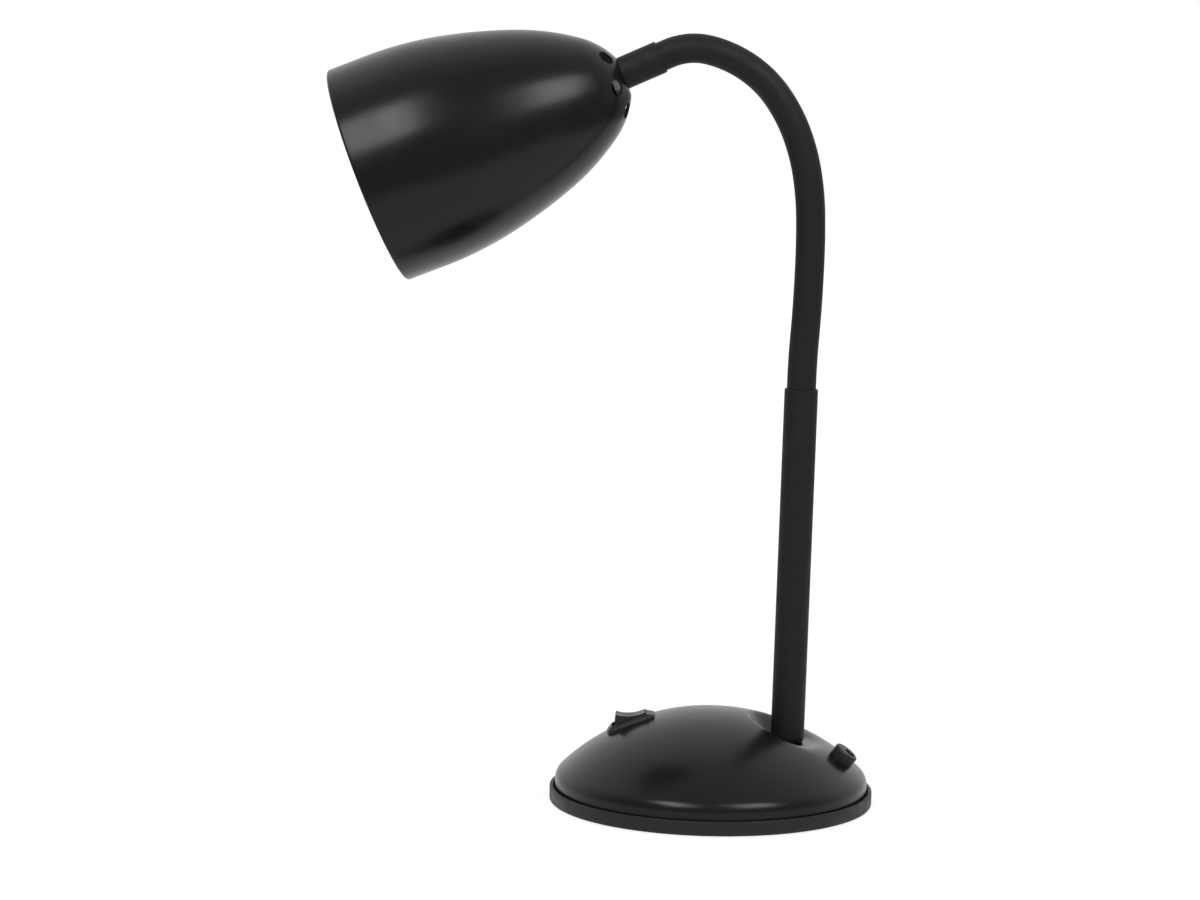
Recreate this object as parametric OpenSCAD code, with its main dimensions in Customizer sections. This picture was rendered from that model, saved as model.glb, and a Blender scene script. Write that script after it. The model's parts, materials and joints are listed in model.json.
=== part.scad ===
// Gooseneck desk lamp with a domed base, in millimetres
// The origin is the centre of the base on the table, +Z is up and the head hangs over -X

/* [Base] */
// Outer radius of the bottom tray
base_r = 80; // [76:1:95]
// Height of the tray's rim above the table
tray_top = 8; // [6:0.5:10]
// Wall of the tray
tray_wall = 2; // [1.5:0.1:2.5]
// Floor of the tray
tray_floor = 2; // [1.8:0.1:2.5]
// Gap between the dome and the tray's rim
rim_gap = 0.6; // [0.3:0.1:1.2]
// Height of the dome's crown above the table
dome_top = 47; // [46:1:52]
// Radius of the dome's curve
dome_curve = 108; // [104:1:116]
// Radius that rounds the dome down into its skirt
shoulder_r = 8; // [5:0.5:10]
// Thickness of the pressed dome
dome_wall = 1.2; // [0.8:0.1:1.5]
// Radius of the ballast disc
ballast_r = 51; // [40:1:52]
// Thickness of the ballast disc
ballast_h = 8; // [6:0.5:10]
// Height of the tray above the table on its rubber feet
foot_lift = 0.8; // [0.6:0.1:1.5]
// Radius of a rubber foot
foot_r = 6; // [4:0.5:8]
// Distance of the feet from the centre
foot_ring = 67; // [62:1:69]
// Distance of the dome's screw posts from the centre
post_ring = 59; // [58:0.5:62]
// Radius of a screw post
post_r = 4; // [3.5:0.25:5]

/* [Stem] */
// Distance of the stem's foot behind the centre of the base
stem_x = 37.5; // [36:0.5:39]
// Height of the seat that is pressed into the dome for the stem
seat_z = 32; // [31:0.5:34]
// Radius of the seat's flat
seat_r = 15.5; // [14:0.5:17]
// Slope of the seat's wall, from upright
seat_flare = 19; // [10:1:30]
// Lean of the stem towards the back
stem_lean = 0.95; // [0:0.05:2]
// Length of the stem above its seat
stem_l = 176.3; // [140:1:220]
// Outer diameter of the stem's cover
stem_cover_d = 16.5; // [16:0.1:18]
// Outer diameter of the steel stem
stem_d = 13; // [12.6:0.1:13.4]
// Wall of the steel stem
stem_wall = 1.5; // [1.2:0.1:1.7]
// Diameter of the threaded ends on the stem and the neck
thread_d = 10; // [9.6:0.1:10.4]
// Bore of the threaded end under the stem
thread_bore = 6.4; // [5.6:0.1:7]

/* [Neck] */
// Length of each jointed length of the neck
link_l = 20.4; // [19:0.1:24]
// Stiff length at each end of the flexible part
stub_l = 4; // [3:0.5:6]
// Outer diameter of the neck's soft cover
cover_d = 14.35; // [14:0.05:15]
// Wall of the neck's soft cover
cover_wall = 1.4; // [1.1:0.1:1.5]
// Outer diameter of the metal hose inside the cover
hose_d = 11; // [10.6:0.1:11.3]
// Bore of the metal hose
hose_bore = 5.6; // [5:0.1:6]
// Radius of the ball that ends each jointed length
ball_r = 4.6; // [4.4:0.05:4.8]
// Clearance between a ball and its socket
ball_gap = 0.1; // [0.06:0.01:0.15]
// Length of the cuff between the neck and the shade
cuff_l = 20.3; // [18:0.5:26]
// Outer diameter of the cuff
cuff_d = 16.1; // [15.9:0.1:17]
// Diameter of the mains lead inside the arm
lead_d = 4.2; // [3.4:0.1:4.4]

/* [Shade] */
// Radius of the shade's straight mouth
shade_r = 54.8; // [50:0.5:62]
// Radius of the shade's flat top round the neck
shade_flat_r = 9.42; // [9.2:0.02:9.8]
// Length of the straight part behind the rim
shade_straight = 19.5; // [14:0.5:30]
// Thickness of the spun shade
shade_wall = 1; // [0.8:0.1:1.5]
// Radius of the rolled bead on the rim
rim_bead = 1.2; // [0.8:0.1:1.6]
// Turn between the neck's end and the shade's axis
shade_tilt = 2.5; // [0:0.5:5]
// How far the shade has settled below the neck's axis
shade_sag = 2.1; // [0:0.1:2.2]
// Number of vent holes
vent_count = 5; // [3:1:6]
// Diameter of a vent hole
vent_d = 8; // [6:0.5:9]
// Radius of the ring of vent holes
vent_ring = 16; // [15.5:0.25:18]
// Turn of the first vent hole from the top
vent_turn = 25; // [0:5:70]

/* [Lampholder and bulb] */
// Outer diameter of the lampholder
holder_d = 27; // [26:0.5:30]
// Length of the lampholder's lower tube
holder_l = 24; // [22:0.5:28]
// Diameter of the bulb's glass
bulb_d = 45; // [40:1:50]
// Length of the bulb's glass
bulb_l = 61; // [58:1:66]
// Diameter of the bulb's screw base
bulb_base_d = 13.8; // [13:0.1:14]

/* [Switch] */
// Distance of the switch from the centre of the base
switch_x = 40.2; // [39:0.2:41]
// Length of the switch's frame
bezel_l = 25; // [23.5:0.5:27]
// Width of the switch's frame
bezel_w = 15; // [14.8:0.1:16]
// Height of the frame above the dome
bezel_h = 2; // [1.6:0.1:2.4]
// Tilt of the rocker to each side of level
rocker_tilt = 16; // [12:0.5:16]
// Length of the rocker at its pivot
rocker_l = 17.2; // [16.8:0.1:17.4]
// Width of the rocker
rocker_w = 10; // [9.4:0.1:10.2]

/* [Cord gland] */
// Distance of the gland from the rear edge of the base
gland_inset = 16; // [13.5:0.5:16.5]
// Distance of the gland to the side of the middle
gland_y = -10; // [-14:0.5:14]
// Diameter of the gland's head
gland_d = 12.4; // [11.5:0.1:13.5]
// Height of the gland's head above the dome
gland_h = 5.6; // [4:0.2:7]
// Radius of the gland's cord bore
cord_bore_r = 2.6; // [2:0.1:2.9]

/* [Hidden] */
// Rest bend of each jointed length, in degrees, from the stem to the head
LINK_BENDS = [-3, 1.5, 1.5, 3, 8, 11.5, 14.5, 21, 20, 37.5];
// Radius and turn of each arc of the shade's outline, from the mouth to the top, for the photographed size
SHADE_ARCS = [[185, 13], [265, 7], [120, 15.5], [41, 30]];
// Stations of the lead in the base, as distances along X and heights
LEAD_ENTRY = [[12.3, 16], [18, 16], [24, 16.1], [29.5, 17.2], [34, 19.6]];

$fn = 96;
LINKS = len(LINK_BENDS);
EPS = 0.01;
CUT = 1;
fit_gap = 0.05;
cover_gap = 0.1;

// Heights and places in the base
floor_z = foot_lift + tray_floor;
dome_r = base_r - tray_wall - rim_gap;
dome_cz = dome_top - dome_curve;
shoulder_x = dome_r - shoulder_r;
shoulder_z = dome_cz + sqrt(pow(dome_curve - shoulder_r, 2) - pow(shoulder_x, 2));
shoulder_a = atan2(shoulder_z - dome_cz, shoulder_x);
dome_steps = 24;
shoulder_steps = 10;
tray_bevel = 1;
edge_r = 0.4;
foot_recess = 0.7;
foot_count = 4;
foot_turn = 45;
post_count = 3;
post_turn = 90;
post_screw_r = 1.5;
post_hole_r = 1.6;
post_hole_h = 12;
post_screw_l = 12;
ballast_screw_x = 30;
ballast_screw_r = 2;
ballast_screw_l = 8;
head_slope = 1.9;
seat_depth = 30;
spigot_l = 10;
washer_t = 1.2;
washer_r = 10;
nut_t = 5;
nut_flat = 14;
nut_r = nut_flat / 2 / cos(30);

// Neck
pivot_z = stem_l + stub_l;
link_side = 50;
cover_bore = cover_d - 2 * cover_wall;
cover_tuck = 12;
cover_in = 9;
cone_a = 50;
plug_in = 20;
tube_top = stem_l - cover_tuck - 4;

// Neck ends at the cuff, which stands on the shade's flat top
cuff_z = stub_l;
junction_z = stub_l + cuff_l;
ferrule_body_d = cuff_d - 4;

// Switch
cutout_l = 19.2;
cutout_w = 13;
bezel_corner = 4;
bezel_edge = 0.8;
body_gap = 0.15;
body_depth = 16;
body_wall = 1.1;
opening_l = rocker_l + 1;
opening_w = rocker_w + 0.6;
pivot_depth = 1;
rocker_mid_h = 4.2;
rocker_draft = 1.2;
rocker_lip = 0.3;
rocker_rise = 1.4;
rocker_under = 3;
pin_r = 1;
pin_l = 0.8;
boss_r = 2;
boss_bore_r = 1.35;
boss_end = 7;
plunger_r = 1.25;
plunger_tip = 8.2;
plunger_top = 5.2;
spring_wire = 0.32;
spring_turns = 5;
seesaw_z = 9.45;
seesaw_t = 0.6;
seesaw_l = 12;
seesaw_w = 4;
seesaw_tilt = 6;
blade_w = 4.8;
blade_t = 0.8;
blade_l = 8;
fixed_x = -5;
terminal_out_z = -body_depth - blade_l;

// Terminal block
block_l = 16;
block_w = 20;
block_h = 12;
block_x = 4.2;
block_pole = 5;
block_bore_r = 1.8;
wire_r = 1.1;
wire_y = 3.4;

// Lampholder, counted down from the inside of the shade's flat top
holder_washer_t = 1;
holder_washer_r = 9;
holder_nut_t = 4;
nipple_l = 15;
cap_h = 15;
cap_wall = 1.5;
tube_wall = 1.5;
insert_h = 6;
shell_wall = 0.4;
shell_gap = 0.25;
shell_l = 14.4;
bulb_base_l = 15.6;
bulb_tip_r = 2.4;
bulb_tip_h = 1;
glass_t = 0.9;
glass_neck_r = bulb_base_d / 2 + 0.6;

// Helpers

function sum_to(v, n) = n <= 0 ? 0 : v[n - 1] + sum_to(v, n - 1);

function arc(c, r, a0, a1, n, first = 0) =
    [for (i = [first:n]) let (a = a0 + (a1 - a0) * i / n) c + r * [cos(a), sin(a)]];

// Points of the dome's outline from the crown to the skirt, sunk by a depth
function dome_line(depth) = concat(
    arc([0, dome_cz], dome_curve - depth, 90, shoulder_a, dome_steps),
    arc([shoulder_x, shoulder_z], shoulder_r - depth, shoulder_a, 0, shoulder_steps, 1));

// Height of the dome at a distance from its axis
function dome_z(r) = dome_cz + sqrt(pow(dome_curve, 2) - r * r);

module ring(r_out, r_in, h) {
    difference() {
        cylinder(r = r_out, h = h);
        translate([0, 0, -CUT]) cylinder(r = r_in, h = h + 2 * CUT);
    }
}

module dome_body(depth, z_low) {
    rotate_extrude($fn = 180)
        polygon(concat([[0, z_low]], dome_line(depth), [[dome_r - depth, z_low]]));
}

module around(count, turn, r) {
    for (i = [0:count - 1])
        rotate([0, 0, turn + i * 360 / count]) translate([r, 0, 0]) children();
}

module at_seat() {
    translate([stem_x, 0, seat_z]) rotate([0, stem_lean, 0]) children();
}

// A frame on the dome's surface, with +Z along its normal and +X in the upright plane
module on_dome(x, y) {
    r = sqrt(x * x + y * y);
    rotate([0, 0, atan2(y, x)])
        translate([r, 0, dome_z(r)])
            rotate([0, asin(r / dome_curve), 0]) children();
}

// The switch's frame has +X uphill, so it is turned round on the front of the dome
module at_switch() {
    on_dome(-switch_x, 0) rotate([0, 0, 180]) children();
}

module at_gland() {
    on_dome(base_r - gland_inset, gland_y) children();
}

module at_rocker() {
    at_switch() translate([0, 0, -pivot_depth]) rotate([0, rocker_tilt, 0]) children();
}

// Heading of the neck at a pivot, in degrees from upright towards the front
function heading(k) = -stem_lean + sum_to(LINK_BENDS, k);

// Chord of one jointed length
function chord(k) =
    let (b = abs(LINK_BENDS[k])) 2 * link_l / (b * PI / 180) * sin(b / 2);

// Pivots of the neck in the upright plane, as X and Z
function pivot(k) = k == 0
    ? [stem_x + pivot_z * sin(stem_lean), seat_z + pivot_z * cos(stem_lean)]
    : let (a = heading(k - 1) + LINK_BENDS[k - 1] / 2)
      pivot(k - 1) + chord(k - 1) * [-sin(a), cos(a)];

module at_pivot(k) {
    p = pivot(k);
    translate([p[0], 0, p[1]]) rotate([0, -heading(k), 0]) children();
}

// A round bar bent along one jointed length, from its lower pivot
module bent_bar(bend, r) {
    arc_r = link_l / (abs(bend) * PI / 180);
    mirror([bend < 0 ? 1 : 0, 0, 0])
        translate([-arc_r, 0, 0]) rotate([90, 0, 0])
            rotate_extrude(angle = abs(bend), $fn = link_side * 8)
                translate([arc_r, 0]) circle(r = r, $fn = link_side);
}

// The upper end of a jointed length, seen from its lower pivot
module at_link_end(bend) {
    arc_r = link_l / (abs(bend) * PI / 180);
    side = bend < 0 ? 1 : -1;
    translate([side * arc_r * (1 - cos(bend)), 0, arc_r * sin(abs(bend))])
        rotate([0, -bend, 0]) children();
}

// What is cut off below a ball, so that the next length can swing
module ball_clearance() {
    reach = hose_d;
    rotate_extrude()
        polygon([[0, 0], [reach, -reach / tan(cone_a)], [reach, reach], [0, reach]]);
}

module shade_frame() {
    at_pivot(LINKS) translate([0, 0, junction_z])
        rotate([0, shade_tilt + 180, 0]) translate([shade_sag, 0, -shade_top])
            children();
}

// Turn of the shade's outline at the start of an arc
function shade_turn(i) = i == 0 ? 0 : SHADE_ARCS[i - 1][1] + shade_turn(i - 1);

// How far the arcs up to one of them come in from the straight mouth
function arc_fall(i) = i < 0 ? 0 :
    SHADE_ARCS[i][0] * (cos(shade_turn(i)) - cos(shade_turn(i + 1))) + arc_fall(i - 1);

// The arcs grow with the shade, so that they always end at the flat top
function shade_arc(i) = SHADE_ARCS[i][0] * (shade_r - shade_flat_r) / arc_fall(len(SHADE_ARCS) - 1);

// Centre of an arc of the shade's outline, as distance from the rim and radius
function shade_centre(i) = i == 0
    ? [shade_straight, shade_r - shade_arc(0)]
    : shade_centre(i - 1) + (shade_arc(i - 1) - shade_arc(i)) * [sin(shade_turn(i)), cos(shade_turn(i))];

// Point of an arc at a turn from straight, sunk by a depth
function shade_point(i, a, depth) =
    shade_centre(i) + (shade_arc(i) - depth) * [sin(a), cos(a)];

shade_steps = 8;
shade_last = len(SHADE_ARCS) - 1;
shade_end = shade_turn(shade_last + 1);
shade_top = shade_point(shade_last, shade_end, 0)[0];

// Outline of the shade as radius and height, from the rim to the top
function shade_line(depth) = concat(
    [[shade_r - depth, rim_bead], [shade_r - depth, shade_straight]],
    [for (i = [0:shade_last], s = [1:shade_steps])
        let (p = shade_point(i, shade_turn(i) + SHADE_ARCS[i][1] * s / shade_steps, depth))
        [p[1], p[0]]]);

vent_a = acos((vent_ring - shade_centre(shade_last)[1]) / shade_arc(shade_last));
vent_t = shade_centre(shade_last)[0] + shade_arc(shade_last) * sin(vent_a);

// Heights inside the shade, counted from the rim
under_top = shade_top - shade_wall;
nut_low = under_top - holder_washer_t - holder_nut_t;
cap_top = nut_low - 0.2;
cap_low = cap_top - cap_h;
insert_low = cap_low - insert_h;
tube_low = cap_low - holder_l;
shell_top = insert_low;
base_top = insert_low - 1.6;
base_low = base_top - bulb_base_l;
glass_top = base_low + 2.4;
globe_z = glass_top - bulb_l + bulb_d / 2;

// Base

module base_tray() {
    color([0.16, 0.16, 0.17]) difference() {
        rotate_extrude($fn = 180) polygon([
            [0, foot_lift],
            [base_r - tray_bevel, foot_lift],
            [base_r, foot_lift + tray_bevel],
            [base_r, tray_top - edge_r],
            [base_r - edge_r, tray_top],
            [base_r - tray_wall + edge_r, tray_top],
            [base_r - tray_wall, tray_top - edge_r],
            [base_r - tray_wall, floor_z],
            [0, floor_z]]);
        around(foot_count, foot_turn, foot_ring)
            translate([0, 0, foot_lift - CUT]) cylinder(r = foot_r + fit_gap, h = foot_recess + CUT);
        around(post_count, post_turn, post_ring)
            countersunk(post_screw_r + fit_gap, tray_floor + CUT);
        around(2, 0, ballast_screw_x)
            countersunk(ballast_screw_r + fit_gap, tray_floor + CUT);
    }
}

// A countersunk screw that stands head down, flush with the underside of the tray
module countersunk(r, l) {
    translate([0, 0, foot_lift]) {
        cylinder(r1 = r + head_slope, r2 = r, h = head_slope);
        cylinder(r = r, h = l);
    }
}

module rubber_feet() {
    color([0.2, 0.2, 0.2]) around(foot_count, foot_turn, foot_ring)
        cylinder(r = foot_r, h = foot_lift + foot_recess);
}

module ballast_disc() {
    color([0.35, 0.35, 0.37]) difference() {
        translate([0, 0, floor_z]) cylinder(r = ballast_r, h = ballast_h);
        around(2, 0, ballast_screw_x)
            translate([0, 0, floor_z - CUT]) cylinder(r = ballast_screw_r + fit_gap, h = ballast_h + 2 * CUT);
    }
}

module ballast_screws() {
    color([0.7, 0.7, 0.72]) around(2, 0, ballast_screw_x)
        screw(ballast_screw_r, ballast_screw_l);
}

module tray_screws() {
    color([0.7, 0.7, 0.72]) around(post_count, post_turn, post_ring)
        screw(post_screw_r, post_screw_l);
}

// A cross-recess screw, the recess cut as a slot each way
module screw(r, l) {
    slot_w = 0.8;
    slot_depth = 1;
    difference() {
        countersunk(r, l);
        for (turn = [0, 90]) rotate([0, 0, turn])
            translate([-r, -slot_w / 2, foot_lift - CUT]) cube([2 * r, slot_w, slot_depth + CUT]);
    }
}

module dome_posts() {
    color([0.55, 0.55, 0.57]) difference() {
        intersection() {
            dome_body(dome_wall, floor_z);
            around(post_count, post_turn, post_ring)
                translate([0, 0, floor_z]) cylinder(r = post_r, h = dome_top);
        }
        around(post_count, post_turn, post_ring)
            translate([0, 0, floor_z - CUT]) cylinder(r = post_hole_r, h = post_hole_h + CUT);
    }
}

module base_dome() {
    color([0.13, 0.13, 0.14]) difference() {
        union() {
            difference() {
                dome_body(0, floor_z);
                dome_body(dome_wall, floor_z - CUT);
            }
            intersection() {
                dome_body(0, floor_z);
                at_seat() translate([0, 0, -dome_wall]) seat_cone(dome_wall);
            }
        }
        at_seat() seat_cone(0);
        at_seat() translate([0, 0, -seat_depth]) cylinder(r = thread_d / 2 + cover_gap, h = 2 * seat_depth);
        at_switch() translate([-cutout_l / 2, -cutout_w / 2, -CUT - 2 * dome_wall])
            cube([cutout_l, cutout_w, 4 * dome_wall + 2 * CUT]);
        at_gland() translate([0, 0, -4 * dome_wall]) cylinder(r = gland_neck_r + cover_gap, h = 8 * dome_wall);
    }
}

// The hollow of the seat, or with a wall its outer side
module seat_cone(wall) {
    cylinder(r1 = seat_r + wall, r2 = seat_r + wall + seat_depth * tan(seat_flare), h = seat_depth);
}

gland_neck_r = gland_d / 2 - 1;

module cord_gland() {
    barb_h = 1.4;
    barb_r = gland_neck_r + 0.7;
    under = 3 * dome_wall;
    bevel = 0.9;
    bore_x = 1.6;
    color([0.12, 0.12, 0.12]) difference() {
        union() {
            difference() {
                at_gland() rotate_extrude() polygon([
                    [0, -1], [gland_d / 2, -1], [gland_d / 2, gland_h - bevel],
                    [gland_d / 2 - bevel, gland_h], [0, gland_h]]);
                dome_body(0, floor_z);
            }
            at_gland() translate([0, 0, -under]) cylinder(r = gland_neck_r, h = under + 1);
            at_gland() translate([0, 0, -under - barb_h])
                cylinder(r1 = gland_neck_r - 0.4, r2 = barb_r, h = barb_h);
        }
        at_gland() translate([bore_x, 0, -under - barb_h - CUT])
            cylinder(r = cord_bore_r, h = under + barb_h + gland_h + 2 * CUT);
    }
}

module terminal_block() {
    color([0.85, 0.85, 0.82]) difference() {
        translate([block_x - block_l / 2, -block_w / 2, floor_z + ballast_h])
            cube([block_l, block_w, block_h]);
        for (side = [-1, 1]) translate([block_x, side * block_pole, 0]) {
            translate([-block_l / 2 - CUT, 0, LEAD_ENTRY[0][1]]) rotate([0, 90, 0])
                cylinder(r = block_bore_r, h = block_l + 2 * CUT);
            for (x = [-4, 4]) translate([x, 0, LEAD_ENTRY[0][1]])
                cylinder(r = 1.6, h = block_h + ballast_h);
        }
    }
}

module terminal_screws() {
    top = floor_z + ballast_h + block_h;
    color([0.75, 0.7, 0.5]) for (side = [-1, 1], x = [-4, 4])
        translate([block_x + x, side * block_pole, top - 4]) difference() {
            cylinder(r = 1.5, h = 3.5);
            translate([-2, -0.3, 2.8]) cube([4, 0.6, 2]);
        }
}

// Switch

module bezel_outline(grow) {
    c = bezel_corner;
    x = bezel_l / 2 - c;
    y = bezel_w / 2 - c;
    for (side = [-1, 1]) {
        translate([side * x, 0]) square([2 * (c - grow), 2 * y], center = true);
        for (edge = [-1, 1]) translate([side * x, edge * y]) circle(r = c - grow);
    }
    square([2 * x, bezel_w - 2 * grow], center = true);
}

module switch_housing() {
    inner_l = cutout_l - 2 * body_gap - 2 * body_wall;
    inner_w = cutout_w - 2 * body_gap - 2 * body_wall;
    color([0.12, 0.12, 0.12]) difference() {
        union() {
            difference() {
                at_switch() {
                    translate([0, 0, -2]) linear_extrude(2 + bezel_h - bezel_edge) bezel_outline(0);
                    translate([0, 0, bezel_h - bezel_edge - EPS]) linear_extrude(bezel_edge + EPS)
                        bezel_outline(bezel_edge);
                }
                dome_body(0, floor_z);
            }
            at_switch() translate([0, 0, -body_depth / 2]) cube(
                [cutout_l - 2 * body_gap, cutout_w - 2 * body_gap, body_depth], center = true);
        }
        at_switch() {
            translate([-opening_l / 2, -opening_w / 2, -body_depth / 2])
                cube([opening_l, opening_w, body_depth / 2 + bezel_h + CUT]);
            translate([-inner_l / 2, -inner_w / 2, -body_depth + 1.6])
                cube([inner_l, inner_w, body_depth - 4.2]);
            translate([0, 0, -pivot_depth]) rotate([90, 0, 0])
                cylinder(r = pin_r + fit_gap, h = opening_w + 2 * pin_l + 0.2, center = true);
            for (x = [0, fixed_x]) translate([x - blade_t / 2 - fit_gap, -blade_w / 2 - fit_gap, -body_depth - CUT])
                cube([blade_t + 2 * fit_gap, blade_w + 2 * fit_gap, 4]);
        }
    }
}

module switch_rocker() {
    half = rocker_l / 2;
    top = pivot_depth + rocker_mid_h;
    under = rocker_under - pivot_depth;
    edge = 0.5;
    horn = half - rocker_draft;
    dish_r = (pow(horn - rocker_lip, 2) + pow(rocker_rise, 2)) / (2 * rocker_rise);
    color([0.12, 0.12, 0.12]) at_rocker() difference() {
        union() {
            rotate([90, 0, 0]) linear_extrude(rocker_w, center = true) polygon([
                [-half + edge, -under], [half - edge, -under], [half, 0],
                [horn, top + rocker_rise], [-horn, top + rocker_rise], [-half, 0]]);
            rotate([90, 0, 0]) cylinder(r = pin_r, h = opening_w + 2 * pin_l, center = true);
            translate([0, 0, -boss_end]) cylinder(r = boss_r, h = boss_end);
        }
        translate([0, 0, top + dish_r]) rotate([90, 0, 0])
            cylinder(r = dish_r, h = rocker_w + 2, center = true, $fn = 180);
        translate([0, 0, -boss_end - CUT]) cylinder(r = boss_bore_r, h = boss_end + CUT);
    }
}

module switch_plunger() {
    color([0.9, 0.9, 0.88]) at_rocker() {
        translate([0, 0, -plunger_tip + plunger_r]) sphere(r = plunger_r, $fn = 32);
        translate([0, 0, -plunger_tip + plunger_r])
            cylinder(r = plunger_r, h = plunger_tip - plunger_r - plunger_top);
    }
}

// A compression spring in the rocker's boss, pressing on the plunger
module switch_spring() {
    coil_r = boss_bore_r - spring_wire / 2 - 0.15;
    low = -plunger_top + spring_wire / 2 + 0.02;
    high = -spring_wire / 2 - 0.02;
    color([0.75, 0.75, 0.75]) at_rocker()
        sweep([for (i = [0:8 * spring_turns])
            [coil_r * cos(i * 45), coil_r * sin(i * 45), low + (high - low) * i / (8 * spring_turns)]],
            spring_wire / 2, 6, [0, 0, 1]);
}

module at_seesaw() {
    at_switch() translate([0, 0, -pivot_depth - seesaw_z + 0.25]) rotate([0, -seesaw_tilt, 0]) children();
}

module switch_contact() {
    color([0.8, 0.65, 0.3]) at_seesaw() difference() {
        translate([-seesaw_l / 2, -seesaw_w / 2, -seesaw_t - 0.25]) cube([seesaw_l, seesaw_w, seesaw_t]);
        translate([0, 0, -seesaw_t - 0.25]) rotate([90, 0, 0])
            cylinder(r = 0.3, h = seesaw_w + 2, center = true, $fn = 24);
    }
}

module switch_terminals() {
    post_top = -pivot_depth - seesaw_z - 0.2 - seesaw_t;
    pad_top = post_top - 0.35 - abs(fixed_x) * tan(seesaw_tilt);
    color([0.8, 0.65, 0.3]) at_switch() {
        terminal(0, post_top);
        terminal(fixed_x, pad_top);
    }
}

module terminal(x, top) {
    translate([x - blade_t / 2, -blade_w / 2, terminal_out_z]) cube([blade_t, blade_w, top - terminal_out_z]);
}

// Two wires from the terminal block to the switch, each in an upright plane
module switch_wires() {
    a = asin(switch_x / dome_curve);
    low = [for (x = [0, fixed_x]) [
        -switch_x + x * cos(a) - (terminal_out_z - 0.1) * sin(a) + 0.2,
        dome_z(switch_x) + x * sin(a) + (terminal_out_z - 0.1) * cos(a) - wire_r]];
    color([0.3, 0.3, 0.6]) for (i = [0, 1]) {
        y = i == 0 ? wire_y : -wire_y;
        end = low[i];
        start = [block_x - block_l / 2 - 0.05, LEAD_ENTRY[0][1]];
        mid = (start + end) / 2;
        sweep([[start[0], y + sign(y) * (block_pole - wire_y), start[1]],
               [mid[0] + 6, y + sign(y) * 0.8, start[1] - 0.4],
               [mid[0], y, mid[1] - 1.2],
               [end[0] + 2, y / 3, end[1]],
               [end[0], y / 3, end[1]]], wire_r, 8);
    }
}

// A tube swept along points, with its rings square to the route
module sweep(points, r, sides, square_to = [0, 1, 0]) {
    n = len(points);
    function tangent(i) = let (d = points[min(i + 1, n - 1)] - points[max(i - 1, 0)]) d / norm(d);
    function side_dir(t) = let (s = cross(abs(t * square_to) > 0.9 ? [1, 0, 0] : square_to, t)) s / norm(s);
    rings = [for (i = [0:n - 1]) let (t = tangent(i), u = side_dir(t), v = cross(t, u))
        [for (s = [0:sides - 1]) let (a = s * 360 / sides) points[i] + r * (cos(a) * u + sin(a) * v)]];
    polyhedron(
        points = [for (ring_points = rings) each ring_points],
        faces = concat(
            [[for (s = [0:sides - 1]) s]],
            [[for (s = [0:sides - 1]) n * sides - 1 - s]],
            [for (i = [0:n - 2], s = [0:sides - 1]) let (q = i * sides + s, w = i * sides + (s + 1) % sides)
                each [[q, q + sides, w], [w, q + sides, w + sides]]]),
        convexity = 10);
}

// Stem

module stem_tube() {
    color([0.6, 0.6, 0.62]) at_seat() difference() {
        union() {
            cylinder(r = stem_d / 2, h = tube_top);
            translate([0, 0, -spigot_l]) cylinder(r = thread_d / 2, h = spigot_l + 1);
        }
        translate([0, 0, 6]) cylinder(r = stem_d / 2 - stem_wall, h = tube_top);
        translate([0, 0, -spigot_l - CUT]) cylinder(r = thread_bore / 2, h = spigot_l + 8);
    }
}

module stem_cover() {
    edge = 0.5;
    step_z = tube_top + 1;
    wall_r = stem_cover_d / 2;
    color([0.12, 0.12, 0.12]) at_seat() rotate_extrude() polygon([
        [stem_d / 2 + cover_gap, 0], [wall_r - edge, 0], [wall_r, edge],
        [wall_r, stem_l - edge], [wall_r - edge, stem_l],
        [cover_d / 2 + cover_gap, stem_l], [cover_d / 2 + cover_gap, step_z],
        [stem_d / 2 + cover_gap, step_z - (cover_d - stem_d) / 2]]);
}

module stem_washer() {
    color([0.75, 0.75, 0.77]) at_seat() translate([0, 0, -dome_wall - washer_t])
        ring(washer_r, thread_d / 2 + cover_gap, washer_t);
}

module stem_nut() {
    color([0.75, 0.75, 0.77]) at_seat() translate([0, 0, -dome_wall - washer_t - nut_t])
        nut(nut_t);
}

module nut(h) {
    difference() {
        cylinder(r = nut_r, h = h, $fn = 6);
        translate([0, 0, -CUT]) cylinder(r = thread_d / 2 + fit_gap, h = h + 2 * CUT);
    }
}

// Neck

module neck_base_plug() {
    low = tube_top - plug_in;
    color([0.65, 0.65, 0.67]) at_seat() difference() {
        union() {
            translate([0, 0, low]) cylinder(r = stem_d / 2 - stem_wall - fit_gap, h = plug_in + EPS);
            difference() {
                translate([0, 0, tube_top]) cylinder(r = hose_d / 2, h = pivot_z - tube_top);
                translate([0, 0, pivot_z]) ball_clearance();
            }
            translate([0, 0, pivot_z]) sphere(r = ball_r);
        }
        translate([0, 0, low - CUT]) cylinder(r = hose_bore / 2, h = pivot_z);
    }
}

module neck_hose(k) {
    bend = LINK_BENDS[k - 1];
    color([0.6, 0.6, 0.62]) at_pivot(k - 1) difference() {
        union() {
            difference() {
                bent_bar(bend, hose_d / 2);
                at_link_end(bend) ball_clearance();
                sphere(r = ball_r + ball_gap);
            }
            at_link_end(bend) sphere(r = ball_r);
        }
        bent_bar(bend, hose_bore / 2);
        at_link_end(bend) translate([0, 0, -CUT]) cylinder(r = hose_bore / 2 + ball_gap, h = ball_r + 2 * CUT);
    }
}

module neck_cover(k) {
    bend = LINK_BENDS[k - 1];
    color([0.13, 0.13, 0.13]) at_pivot(k - 1) difference() {
        bent_bar(bend, cover_d / 2);
        bent_bar(bend, cover_bore / 2);
    }
}

module neck_cover_foot() {
    low = tube_top + 2;
    color([0.13, 0.13, 0.13]) at_seat() translate([0, 0, low])
        ring(cover_d / 2, cover_bore / 2, pivot_z - low);
}

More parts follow.
